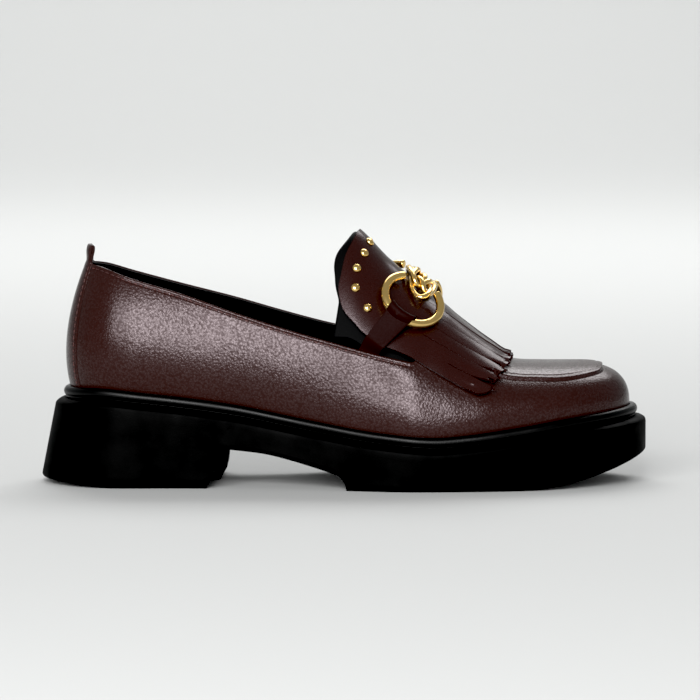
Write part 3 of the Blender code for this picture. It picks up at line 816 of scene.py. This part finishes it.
def grained_leather(name, pale, deep, roughness, grain, relief, shine):
    """Chrome-tanned cowhide with a corrected, plated grain: even colour, low pebbles, soft gloss.

    The pebbles are about half a millimetre wide and are drawn nearly twice as coarse so that they show.
    Their tops, rubbed by the plate, shine more than the furrows between them.
    """
    material, tree, shader, place = new_material(name, ior=1.5, specular_tint=(1.0, 0.86, 0.90, 1.0))
    cells = add_node(
        tree, "ShaderNodeTexVoronoi", {"Vector": place, "Scale": 1 / grain}, feature="SMOOTH_F1"
    ).outputs["Distance"]
    pores = noise(tree, place, 2.2 / grain, 2.0)
    dye(tree, shader, noise(tree, place, 26.0, 3.0), deep, pale)
    vary(tree, shader, "Roughness", pores, (0.3, 0.7), (roughness * 0.88, roughness * 1.14))
    vary(tree, shader, "Specular IOR Level", cells, (0.15, 0.60), (shine * 1.45, shine * 0.50))
    fine = emboss(tree, shader, pores, 0.35, relief * 0.5)
    emboss(tree, shader, cells, 0.5, relief, under=fine, invert=True)
    return material


def cut_leather_edge(name, pale, deep):
    """Raw edge of dyed leather: the fibres take the dye unevenly and stay dull."""
    material, tree, shader, place = new_material(name, ior=1.45, roughness=0.68)
    fibres = noise(tree, place, 1500.0, 4.0)
    dye(tree, shader, fibres, deep, pale)
    emboss(tree, shader, fibres, 0.4, 0.0001)
    return material


def lining_leather():
    """Black aniline pigskin lining: matt, with small pores."""
    material, tree, shader, place = new_material(
        "pigskin_lining", ior=1.45, specular_ior_level=0.12, roughness=0.72
    )
    pores = add_node(tree, "ShaderNodeTexVoronoi", {"Vector": place, "Scale": 900.0})
    dye(tree, shader, noise(tree, place, 60.0, 3.0), "#020202", "#060607")
    emboss(tree, shader, pores.outputs["Distance"], 0.4, 0.00015)
    return material


def moulded_rubber(name, code, roughness, spark, shine):
    """Injection-moulded thermoplastic rubber: black, with the mould's fine spark-eroded texture."""
    material, tree, shader, place = new_material(
        name, ior=1.5, specular_ior_level=shine, base_color=linear(code)
    )
    scuff = noise(tree, place, 70.0, 4.0)
    vary(tree, shader, "Roughness", scuff, (0.35, 0.65), (roughness * 0.9, roughness * 1.12))
    emboss(tree, shader, noise(tree, place, spark, 3.0), 0.3, 0.0001)
    return material


def gilt_metal():
    """Polished zinc alloy plated in gold colour: bright, with faint polishing waves."""
    material, tree, shader, place = new_material(
        "gold_plated_zinc", metallic=1.0, base_color=linear("#ecc97f")
    )
    waves = noise(tree, place, 320.0, 3.0)
    vary(tree, shader, "Roughness", waves, (0.35, 0.65), (0.14, 0.24))
    emboss(tree, shader, waves, 0.2, 0.0001)
    return material


def bonded_thread():
    """Bonded nylon sewing thread, a shade paler than the leather, its plies drawn as fine bands."""
    material, tree, shader, place = new_material("bonded_nylon_thread", ior=1.5, roughness=0.5)
    plies = add_node(
        tree, "ShaderNodeTexWave", {"Vector": place, "Scale": 500.0, "Distortion": 1.0},
        bands_direction="DIAGONAL",
    )
    dye(tree, shader, plies.outputs["Fac"], "#2a0f0e", "#5c3431")
    return material


OXBLOOD = grained_leather("oxblood_cowhide", "#2a1512", "#22110e", 0.24, 0.0009, 0.00014, 0.30)
KILTIE_HIDE = grained_leather(
    "polished_oxblood_cowhide", "#28110e", "#200d0a", 0.22, 0.0003, 0.00001, 0.30
)
STRAP_HIDE = grained_leather("strap_cowhide", "#1f0c0a", "#190907", 0.48, 0.0004, 0.00003, 0.04)
CUT_EDGE = cut_leather_edge("cut_cowhide_edge", "#5c3b3c", "#341c1d")
# Painted shade: near-black colour for the cut edges of the kiltie's front part, so that the slits between
# the strips read as thin dark lines of shade
PAINTED_SHADE_EDGE = cut_leather_edge("painted_shade_cowhide_edge", "#190807", "#0f0403")
LINING = lining_leather()
SOLE_RUBBER = moulded_rubber("moulded_rubber", "#020202", 0.60, 1400.0, 0.05)
BEAD_RUBBER = moulded_rubber("moulded_rubber_bead", "#030303", 0.34, 900.0, 0.15)
# Painted highlight: a paler grey than the sole, with real gloss, for the upward faces of the rim's top
# edge, so that it shows a thin light line
RIM_HIGHLIGHT_RUBBER = moulded_rubber("moulded_rubber_painted_highlight_edge", "#1a1a1a", 0.30, 900.0, 0.90)
GILT = gilt_metal()
THREAD = bonded_thread()


# Sole, bead and footbed
def tread_height(along):
    """Underside of the sole along its middle."""
    x = x_of(along)
    breast_top = BREAST_PLACE + BREAST_RISE
    if along < BREAST_PLACE - BREAST_RUN:
        return HEEL_LIFT * max(0.0, 1 - (x - BACK) / HEEL_LIFT_LENGTH) ** 2
    if along < BREAST_PLACE:
        return BREAST_CHAMFER * (along - BREAST_PLACE + BREAST_RUN) / BREAST_RUN
    if along < breast_top:
        return mix(BREAST_CHAMFER, ARCH_HEIGHT * ARCH[0].height, (along - BREAST_PLACE) / BREAST_RISE)
    if along < TREAD_START:
        way = (along - breast_top) / (TREAD_START - breast_top)
        return column(ARCH, "height", way) * ARCH_HEIGHT
    if along < TREAD_START + TREAD_STEP_RUN:
        return TREAD_STEP * (1 - (along - TREAD_START) / TREAD_STEP_RUN) ** 0.6
    return TOE_SPRING * max(0.0, 1 - (SOLE_LENGTH / 2 - x) / TOE_SPRING_LENGTH) ** 1.8


def floor_point(turn, inset, lift):
    """The rim's outline drawn out to the full length, with the heel's flare and slanted breast."""
    share = share_of(turn)
    p = outline(turn, 0.0)
    out = outward(turn, 0.0)
    heel = 1 - smoothstep(share / FLARE_REACH)
    flare = HEEL_FLARE * heel * mix(0.25, 1.0, max(0.0, -out.x) ** 1.5)
    x = mix(p.x + out.x * flare, x_of(share), smoothstep(share / 0.25))
    slant = BREAST_SLANT * p.y / (BALL_WIDTH / 2) * hump(share - BREAST_PLACE, SLANT_REACH)
    y = p.y + out.y * flare - out.y * inset
    return Vector((x - out.x * inset + slant, y, tread_height(share) + lift))


def make_outsole():
    """Unit sole with rounded edges and a bed that closes it inside the bead."""
    breaks = [BREAST_PLACE + d for d in BREAST_STATIONS] + [TREAD_START + d for d in TREAD_STATIONS]
    turns = stations(190, breaks)
    rows = [level_row(turns, inset, rim_height, -drop) for inset, drop in SOLE_RIM]
    feet = [[floor_point(turn, inset, lift) for turn in turns] for inset, lift in SOLE_FOOT]
    rows += [[a.lerp(b, way) for a, b in zip(rows[-1], feet[0])] for way in SOLE_WALL]
    rows += feet
    bed, under = rows[0], rows[-1]
    rows = [drawn_in(bed, 0.0), drawn_in(bed, BED_SHARE)] + rows
    rows += [drawn_in(under, BED_SHARE), drawn_in(under, 0.0)]
    sole = shaped_grid("outsole_fine", rows, weld=True)
    face_out(sole)
    # Painted highlight: the upward faces at the rim's top edge take the paler, glossier rubber
    for face in sole.data.polygons:
        if face.normal.z > 0.05 and face.center.z > rim_height(face.center.x) - RIM_HIGHLIGHT_DEPTH:
            face.material_index = 1
    smooth(sole, 28)
    dress(sole, "rubber", [SOLE_RUBBER, RIM_HIGHLIGHT_RUBBER], "outsole")


def make_bead():
    """Round bead of the sole unit that runs against the upper."""
    turns = stations(190)
    inner, arcs = RIM_WIDTH + WELT_WIDTH, 8
    profile = [(inner, 0.0), (RIM_WIDTH + BEAD_FOOT, 0.0)]
    for k in range(arcs + 1):
        angle = radians(BEAD_START + BEAD_TURN * k / arcs)
        profile.append((
            RIM_WIDTH + BEAD_CENTRE - BEAD_RADIUS * cos(angle),
            WELT_HEIGHT * (0.5 + 0.5 * sin(angle)),
        ))
    profile += [(inner, WELT_HEIGHT * 0.94), profile[0]]
    rows = []
    for inset, height in profile:
        row = [outline(turn, inset) for turn in turns]
        for point, turn in zip(row, turns):
            point.z = bed_height(outline(turn, RIM_WIDTH).x) + CLEARANCE + height
        rows.append(row)
    bead = shaped_grid("welt_fine", rows, weld=True)
    face_out(bead)
    smooth(bead, 50)
    dress(bead, "rubber", [BEAD_RUBBER], "welt")


def make_insole():
    """Lined footbed, softly dished under the heel and the ball."""
    turns = stations(90)
    inset = UPPER_INSET + WALL + INSOLE_MARGIN
    rows = [level_row(turns, inset + margin, bed_height, CLEARANCE + lift) for margin, lift in INSOLE_EDGE]
    inner = rows[-1]
    for way in (0.35, 0.7, 1.0):
        rows.append([Vector((p.x, p.y * (1 - way), p.z - INSOLE_DISH * way)) for p in inner])
    rows.insert(0, drawn_in(rows[0], 0.0))
    insole = shaped_grid("insole_fine", rows, weld=True)
    face_out(insole)
    smooth(insole, 50)
    dress(insole, "lining", [LINING], "insole")


# Upper
def crease_depth(turn, t):
    """Sink of the leather along the listed creases, on the lateral side and more faintly medially."""
    point = skin(turn, t)
    arc = t * pace(turn, 0.4)
    sink = 0.0
    for crease in CREASES:
        dx, dy = point.x - crease.x, arc - crease.arc
        along = dx * cos(crease.slant) + dy * sin(crease.slant)
        aside = dy * cos(crease.slant) - dx * sin(crease.slant)
        aside += CREASE_BEND * along * along
        fold = hump(aside, crease.width)
        fold -= CREASE_SWELL * hump(aside - crease.width * 1.6, crease.width * 1.1)
        sink += crease.depth * hump(along, crease.length) ** 2 * fold
    return sink * (1.0 if side_of(turn) == LATERAL else MEDIAL_CREASE)


def upper_columns(turn):
    """Shares up the section, close together at the apron's edge and at the topline."""
    top = collar_share(turn)
    along = foot_along(turn)
    vamp = smoothstep((along - VAMP_START) / VAMP_RUN)
    edge = mix(0.6 * top, column(LAST, "apron", along), vamp)
    below = edge - 0.0014 / pace(turn, edge)
    above = edge + 0.0040 / pace(turn, edge)
    hem = max(top - 0.0042 / pace(turn, top), mix(above, top, 0.5))
    shares = spread(0.0, below, 24) + spread(below, above, 20)
    shares += spread(above, hem, 20) + spread(hem, top, 10) + [top]
    return edge, top, shares


def upper_lift(turn, t, edge, top):
    """Height of the leather over the last: lapped apron, folded topline with its seam, creases."""
    along = foot_along(turn)
    laid = smoothstep((along - APRON_START) / APRON_RUN)
    past = (t - edge) * pace(turn, edge)
    lift = laid * (APRON_STEP * rolled(past / APRON_ROUND))
    lift -= laid * (groove_at(APRON_FOOT, past) + groove_at(APRON_SEAM, past))
    if along < THROAT_START:
        down = (top - t) * pace(turn, top)
        lift += HEM_STEP * smoothstep(1 - (down - HEM_DEPTH) / HEM_DEPTH) - groove_at(TOPLINE_SEAM, down)
        lift -= HEM_SINK * max(0.0, 1 - down / HEM_ROLL) ** 2
    fade = smoothstep(t / 0.08) * smoothstep((top - t) / 0.06)
    return lift - crease_depth(turn, t) * fade * (1 - laid * smoothstep(past / 0.002))


def make_upper():
    """Leather outside of the upper, one piece over the last, with its cut lower edge hidden."""
    rows = []
    for turn in stations(200, [share_at(mix(THROAT_START, THROAT_END, i / 20)) for i in range(21)]):
        edge, top, shares = upper_columns(turn)
        base = outline(turn, UPPER_INSET)
        base.z = bed_height(base.x) + CLEARANCE
        rows.append([base] + [skin(turn, t, upper_lift(turn, t, edge, top)) for t in shares])
    dress(upper_sheet("upper_fine", rows, LEATHER), "leather", [OXBLOOD], "upper")


def make_lining():
    """Black lining inside the upper, just short of the topline."""
    inset = LEATHER + LINING_GAP
    rows = []
    for turn in stations(110, [share_at(mix(THROAT_START, THROAT_END, i / 10)) for i in range(11)]):
        top = collar_share(turn)
        if top < 1:
            top -= 0.0003 / pace(turn, top)
        base = outline(turn, UPPER_INSET + inset)
        base.z = bed_height(base.x) + CLEARANCE
        rows.append([base] + [skin(turn, t, -inset) for t in spread(0.03, top, 30) + [top]])
    dress(upper_sheet("lining", rows, WALL - LEATHER), "lining", [LINING])


def make_back_strip():
    """Strip laid over the back seam, its edges skived and rounded."""
    reach = turn_at_reach(BACK_STRIP_REACH)
    across, up = 36, 60
    rows = []
    for j in range(up + 1):
        row = []
        for i in range(across + 1):
            turn = mix(-reach, reach, i / across)
            near = (1 - abs(2 * i / across - 1)) * BACK_STRIP_REACH
            lift = BACK_STRIP_SKIVE + (BACK_STRIP_STEP - 0.0002) * rolled(near / BACK_STRIP_ROLL)
            lift -= groove_at(BACK_SEAM, near)
            row.append(skin(turn, mix(0.0, collar_share(turn), j / up), lift))
        rows.append(row)
    dress(upper_sheet("back_strip", rows, 0.0006, weld=False), "leather", [OXBLOOD])


def make_pull_tab():
    """Loop at the back of the collar, its ends sewn in between the leather and the lining."""
    outside = BACK_STRIP_STEP - TAB_THICKNESS / 2
    inside = WALL - TAB_THICKNESS / 2
    reach = 0.0
    while abs(skin(reach, collar_share(reach)).y) < TAB_WIDTH / 2:
        reach += 0.002
    columns, folds = 12, 18
    rows = []
    for i in range(columns + 1):
        turn = mix(-reach, reach, i / columns)
        top = collar_share(turn)
        outer = [skin(turn, top - d, outside) for d in TAB_ENDS]
        inner = [skin(turn, top - d, -inside) for d in reversed(TAB_ENDS)]
        lean = Vector((mix(*TAB_LEAN, i / columns), 0, 0))
        radius = (outer[-1] - inner[0]).length / 2
        middle = (outer[-1] + inner[0]) / 2
        across = (outer[-1] - inner[0]).normalized()
        fold = []
        for k in range(folds + 1):
            angle = pi * k / folds
            rise = 0.5 - 0.5 * cos(2 * angle)
            belly = mix(TAB_PINCH, TAB_BELLY, smoothstep(rise * 1.6))
            height = mix(TAB_SEAT, TAB_HEIGHT, rise**0.8)
            side = squared(cos(angle), 0.5)
            fold.append(middle + across * radius * belly * side + Vector((0, 0, height)) + lean * rise)
        rows.append(outer + fold + inner)
    tab = shaped_grid("pull_tab_fine", rows)
    modify(tab, "SOLIDIFY", thickness=TAB_THICKNESS, offset=0.0, material_offset_rim=1)
    bevel(tab, 0.0003, 2, 50)
    smooth(tab, 50)
    dress(tab, "leather", [OXBLOOD, CUT_EDGE], "pull_tab")


# Stitches
def thread_stitch():
    """One stitch of thread, sunk at both ends."""
    deselect()
    bpy.ops.mesh.primitive_uv_sphere_add(segments=8, ring_count=6, radius=0.5)
    stitch = bpy.context.object
    for vertex in stitch.data.vertices:
        x, y, z = vertex.co.z, vertex.co.y, vertex.co.x
        height = STITCH_HEIGHT * (1 - STITCH_SINK * abs(x))
        vertex.co = Vector((x * STITCH_LENGTH, y * STITCH_WIDTH, z * height))
    face_out(stitch)
    smooth(stitch, 80)
    return stitch


def sew(name, places, lift):
    """Stitches at an even pitch along a line of places on the upper."""
    stitch = thread_stitch()
    points = [skin(turn, t, lift) for turn, t in places]
    made, travelled, due = [], 0.0, STITCH_PITCH / 2
    for here, after, (turn, t) in zip(points, points[1:], places):
        step = after - here
        while travelled + step.length >= due:
            normal = skin_normal(turn, t)
            x = step.normalized()
            z = (normal - x * normal.dot(x)).normalized()
            matrix = Matrix((x, z.cross(x), z)).transposed().to_4x4()
            matrix.translation = here + step * ((due - travelled) / step.length)
            made.append(copy_to(stitch, name, matrix))
            due += STITCH_PITCH
        travelled += step.length
    bpy.data.objects.remove(stitch)
    dress(join(made, name), "leather", [THREAD])


def make_stitches():
    """Seams along the topline on both sides and along both edges of the back strip."""
    reach = turn_at_reach(BACK_STRIP_REACH)
    last = turn_of(share_at(THROAT_START - 0.004))
    for side, name in SIDES.items():
        places = []
        for i in range(241):
            turn = mix(reach * 1.04, last, i / 240)
            turn = turn if side == LATERAL else tau - turn
            top = collar_share(turn)
            places.append((turn, top - TOPLINE_SEAM.place / pace(turn, top)))
        sew(f"topline_seam_{name}", places, 0.00012)
    for side, name in SIDES.items():
        turn = -side * reach * (1 - BACK_SEAM.place / BACK_STRIP_REACH)
        places = [(turn, mix(0.01, collar_share(turn) * 0.985, i / 120)) for i in range(121)]
        sew(f"back_seam_{name}", places, BACK_STRIP_STEP - 0.0001)


# Tongue and kiltie
def make_tongue():
    """Lined tongue under the kiltie, running down inside the collar."""
    columns, runs = 72, 48
    rows = []
    for j in range(runs + 1):
        row = []
        for i in range(columns + 1):
            across = mix(-TONGUE_REACH, TONGUE_REACH, i / columns)
            aside = abs(across)
            top = kiltie_edge("top", min(aside, KILTIE_REACH * 0.82)) - 0.0008
            top -= 0.15 * max(0.0, aside - KILTIE_REACH * 0.86) + groove_at(TONGUE_DIP, aside)
            x = mix(top, x_of(TONGUE_FRONT), j / runs)
            open_part = 1 - smoothstep((along_of(x) - THROAT_TOP) / THROAT_TOP_RUN)
            covered = 1 - smoothstep((aside - KILTIE_REACH * 0.66) / 0.009)
            lift = mix(-WALL - TONGUE_GAP, KILTIE_GAP - 2 * CLEARANCE, open_part * covered)
            row.append(instep(x, across, lift))
        rows.append(row)
    tongue = shaped_grid("tongue_fine", rows)
    face_away(tongue)
    modify(tongue, "SOLIDIFY", thickness=TONGUE_THICKNESS, offset=-1.0)
    bevel(tongue, 0.0009, 3, 50)
    smooth(tongue, 50)
    dress(tongue, "lining", [LINING], "tongue")


def make_kiltie():
    """Shield over the instep; its strips lift and spread a little, each its own way."""
    chance = random.Random(7)
    runs, parts = 84, 8
    width = 2 * KILTIE_REACH / STRIPS
    sheets = []
    for strip in range(STRIPS):
        left = -KILTIE_REACH + strip * width
        rise, tilt, sway = [chance.uniform(*limits) for limits in (STRIP_RISE, STRIP_TILT, STRIP_SWAY)]
        slant = chance.uniform(*STRIP_SLANT) * (1 if left < -0.001 else -1)
        rows = []
        for j in range(runs + 1):
            down = j / runs
            row = []
            for k in range(parts + 1):
                part = k / parts
                across = left + part * width
                border = left if part < 0.5 else left + width
                start = column(KILTIE, "slit", abs(border) / KILTIE_REACH)
                inside = KILTIE_REACH - abs(border) > width / 2
                cut = 0.0
                if k in (0, 1, parts - 1, parts) and inside and down > start:
                    wedge = max(0.0, (down - STRIP_POINT) / (1 - STRIP_POINT))
                    cut = (1 if k < 2 else -1) * (SLIT + STRIP_TAPER * wedge**1.3)
                    cut *= 1.0 if k in (0, parts) else 0.6
                loose = smoothstep((down - start) / (1.02 - start))
                x = mix(kiltie_edge("top", across), kiltie_edge("tip", across), down)
                x += slant * (part - 0.5) * loose
                lift = kiltie_lift(x) + loose * (rise + tilt * (part - 0.5) * 2)
                lift -= loose * STRIP_CURL * (2 * part - 1) ** 2
                swell = 1 + KILTIE_SWELL * hump(along_of(x) - SWELL_PLACE, SWELL_RUN)
                row.append(instep(x, across * swell + cut + sway * loose, lift))
            rows.append(row)
        sheets.append(shaped_grid("strip", rows))
    kiltie = join(sheets, "kiltie_fine")
    edit(kiltie, ("remove_doubles", {"threshold": 0.00003}))
    face_away(kiltie)
    modify(kiltie, "SOLIDIFY", thickness=KILTIE_THICKNESS, offset=1.0, material_offset_rim=1)
    bevel(kiltie, 0.00016, 2, 55)
    # Painted shade: the cut edges of the front part, along the slits and at the tips, take the near-black
    # edge colour
    for face in kiltie.data.polygons:
        if face.material_index == 1 and face.center.x > x_of(PAINTED_SHADE_FROM):
            face.material_index = 2
    smooth(kiltie, 20)
    dress(kiltie, "polished_leather", [KILTIE_HIDE, CUT_EDGE, PAINTED_SHADE_EDGE], "kiltie")


# Rings, straps, knot and studs
def ring_frame(side):
    x, across = x_of(RING_PLACE), side * RING_REACH - TRIM_SHIFT
    normal = instep_normal(x, across)
    inwards = Vector((0, -side, 0))
    inwards = (inwards - normal * inwards.dot(normal)).normalized()
    forwards = normal.cross(inwards) * side
    return instep(x, across, RING_LIFT), inwards, forwards


def ring_point(side, angle):
    centre, inwards, forwards = ring_frame(side)
    return centre + (inwards * cos(angle) + forwards * sin(angle)) * RING_RADIUS


def make_ring(name, side, node):
    """Ring of round wire, open where it runs into the knot, its ends rounded over."""
    deselect()
    bpy.ops.mesh.primitive_torus_add(
        major_radius=RING_RADIUS, minor_radius=RING_WIRE / 2, major_segments=144, minor_segments=28
    )
    ring = bpy.context.object
    ring.name = ring.data.name = name
    edit(
        ring,
        ("delete", {"type": "FACE"}),
        chosen=lambda face: abs(degrees(atan2(face.center.y, face.center.x))) < RING_TURN,
    )
    edit(ring, ("fill_holes", {"sides": 0}))
    face_out(ring)
    centre, inwards, forwards = ring_frame(side)
    matrix = Matrix((inwards, forwards, inwards.cross(forwards))).transposed().to_4x4()
    matrix.translation = centre
    ring.data.transform(matrix)
    bevel(ring, 0.0007, 4, 60)
    smooth(ring)
    dress(ring, "gilt", [GILT], node)


def make_strap(name, side, node):
    """Strap of one layer from the topline, round the ring and back under itself."""
    columns, runs, folds = 16, 34, 20
    half = STRAP_THICKNESS / 2
    fold = RING_WIRE / 2 + CLEARANCE + STRAP_THICKNESS
    lap = KILTIE_REACH * (1 + KILTIE_SWELL)
    middle = turn_at(x_of(STRAP_BASE), side)
    butted = arc_to(middle, collar_share(middle)) > lap + STRAP_LAP / 2
    seat = CLEARANCE - WALL if butted else CLEARANCE
    rows = []
    for i in range(columns + 1):
        off = mix(-STRAP_WIDTH / 2, STRAP_WIDTH / 2, i / columns)
        tube = ring_point(side, pi - (off - STRAP_TURN) / RING_RADIUS)
        x_tube, across_tube = place_on_instep(tube, side * (RING_REACH + RING_RADIUS))
        x_base = x_of(STRAP_BASE) + off * STRAP_TAPER
        turn = turn_at(x_base, side)
        topline = arc_to(turn, collar_share(turn)) - CLEARANCE
        across_base = side * (topline if butted else lap + STRAP_LAP)
        bottom, top = [], []
        for j in range(1, runs + 1):
            way = (j + 1.5) / (runs + 1.5)
            x, across = mix(x_tube, x_base, way), mix(across_tube, across_base, way)
            run = abs(across - across_tube)
            past = smoothstep((abs(across) - lap) / (abs(across_base) - lap))
            low = mix(over_kiltie(x), seat, past)
            thick = mix(2 * fold, STRAP_THICKNESS, 1 - (1 - way) ** 1.6)
            if run < STRAP_TAIL * 1.2:
                bottom.append(instep(x, across, low + half))
            top.append(instep(x, across, low + thick - half))
        down = (top[3] - top[0]).normalized()
        up = instep_normal(x_tube, across_tube)
        up = (up - down * up.dot(down)).normalized()
        bend = []
        for k in range(folds + 1):
            angle = pi * k / folds
            away = up * squared(cos(angle), FOLD_POWER) + down * sin(angle) ** FOLD_POWER
            bend.append(tube - away * (fold - half))
        rows.append((bottom, bend + top))
    shortest = min(len(bottom) for bottom, _ in rows)
    rows = [bottom[:shortest][::-1] + rest for bottom, rest in rows]
    strap = shaped_grid(name, rows)
    modify(strap, "SOLIDIFY", thickness=STRAP_THICKNESS, offset=0.0, material_offset_rim=1)
    bevel(strap, 0.00025, 2, 55)
    face_out(strap)
    smooth(strap, 50)
    dress(strap, "polished_leather", [STRAP_HIDE, CUT_EDGE], node)


def make_knot():
    """Plaited ring of one wire, three strands by four bights."""
    strands, bights, count = 3, 4, 288
    centre_x = x_of(KNOT_PLACE)
    slope = instep(centre_x + 0.001, 0.0) - instep(centre_x - 0.001, 0.0)
    run = slope.x / slope.length
    curve = bpy.data.curves.new("knot_fine", "CURVE")
    curve.dimensions = "3D"
    curve.bevel_depth = KNOT_WIRE / 2
    curve.bevel_resolution = 6
    spline = curve.splines.new("POLY")
    spline.points.add(count - 1)
    spline.use_cyclic_u = True
    for i, point in enumerate(spline.points):
        turn = tau * strands * i / count
        wave = turn * bights / strands
        radius = KNOT_RADIUS + KNOT_WAVE * cos(wave)
        x = centre_x + radius * cos(turn) * run
        lift = over_kiltie(x) + KNOT_WIRE / 2 + KNOT_RISE * (1 + sin(2 * wave))
        across = radius * sin(turn) * KNOT_STRETCH - TRIM_SHIFT
        point.co = (*instep(x, across, lift), 1.0)
    pick(add_object("knot_fine", curve))
    bpy.ops.object.convert(target="MESH")
    knot = bpy.context.object
    smooth(knot, 60)
    dress(knot, "gilt", [GILT], "knot")


def make_studs():
    """Domed studs, modelled once and copied."""
    deselect()
    bpy.ops.mesh.primitive_uv_sphere_add(segments=36, ring_count=20, radius=1.0)
    dome = bpy.context.object
    cut = {"plane_co": (0, 0, 0.02), "plane_no": (0, 0, 1), "clear_inner": True, "use_fill": True}
    edit(dome, ("bisect", cut))
    dome.data.transform(Matrix.Diagonal((STUD_RADIUS, STUD_RADIUS, STUD_HEIGHT, 1.0)))
    smooth(dome, 45)
    number = 0
    for side in (LATERAL, MEDIAL):
        for row in STUDS:
            number += 1
            across = side * row.across * KILTIE_REACH
            x = x_of(row.along)
            matrix = instep_normal(x, across).to_track_quat("Z", "Y").to_matrix().to_4x4()
            matrix.translation = instep(x, across, over_kiltie(x) - STUD_SINK)
            stud = copy_to(dome, f"stud_fine_{number}", matrix)
            dress(stud, "gilt", [GILT], f"stud_{number}")
    bpy.data.objects.remove(dome)


# Studio
def make_studio():
    """Pale sweep behind and under the shoe, two soft lights in front, one behind, one on the backdrop."""
    material, tree, shader, place = new_material(
        "paper_backdrop", ior=1.45, base_color=linear("#bfc0bf"), roughness=0.85
    )
    emboss(tree, shader, noise(tree, place, 900.0, 2.0), 0.05, 0.0002)
    sweep = shaped_grid("backdrop", [[Vector((x, y, z)) for x in SWEEP_WIDTHS] for y, z in SWEEP])
    modify(sweep, "SUBSURF", levels=2, render_levels=2)
    smooth(sweep, 80)
    sweep.data.materials.append(material)
    for light in LIGHTS:
        data = bpy.data.lights.new(light.name, "AREA")
        data.shape = "RECTANGLE"
        data.size, data.size_y, data.energy = light.width, light.height, light.power
        lamp = add_object(light.name, data)
        lamp.location = light.place
        aim = Vector(light.target) - Vector(light.place)
        lamp.rotation_euler = aim.to_track_quat("-Z", "Y").to_euler()
        lamp.visible_camera = False
    world = bpy.data.worlds.new("studio")
    world.use_nodes = True
    sky = world.node_tree.nodes["Background"]
    sky.inputs["Color"].default_value = (0.94, 0.95, 0.96, 1.0)
    sky.inputs["Strength"].default_value = 0.34
    bpy.context.scene.world = world
    picture = bpy.context.scene.view_settings
    picture.view_transform = "Standard"
    picture.use_curve_mapping = True
    picture.curve_mapping.black_level = (0.008, 0.008, 0.008)
    picture.curve_mapping.update()


def make_camera():
    """Two metres away and five degrees up, as the photo was taken."""
    data = bpy.data.cameras.new("camera")
    data.sensor_width = 36.0
    data.lens = 222.3
    camera = add_object("camera", data)
    camera.location = (0.002545, -1.99239, 0.23481)
    camera.rotation_euler = (radians(85.0), 0.0, 0.0)
    bpy.context.scene.camera = camera


make_camera()
make_studio()
make_outsole()
make_bead()
make_insole()
make_upper()
make_lining()
make_back_strip()
make_pull_tab()
make_stitches()
make_tongue()
make_kiltie()
for side, name in SIDES.items():
    make_ring(f"ring_{name}_fine", side, f"ring_{name}")
for side, name in SIDES.items():
    make_strap(f"strap_{name}_fine", side, f"strap_{name}")
make_knot()
make_studs()
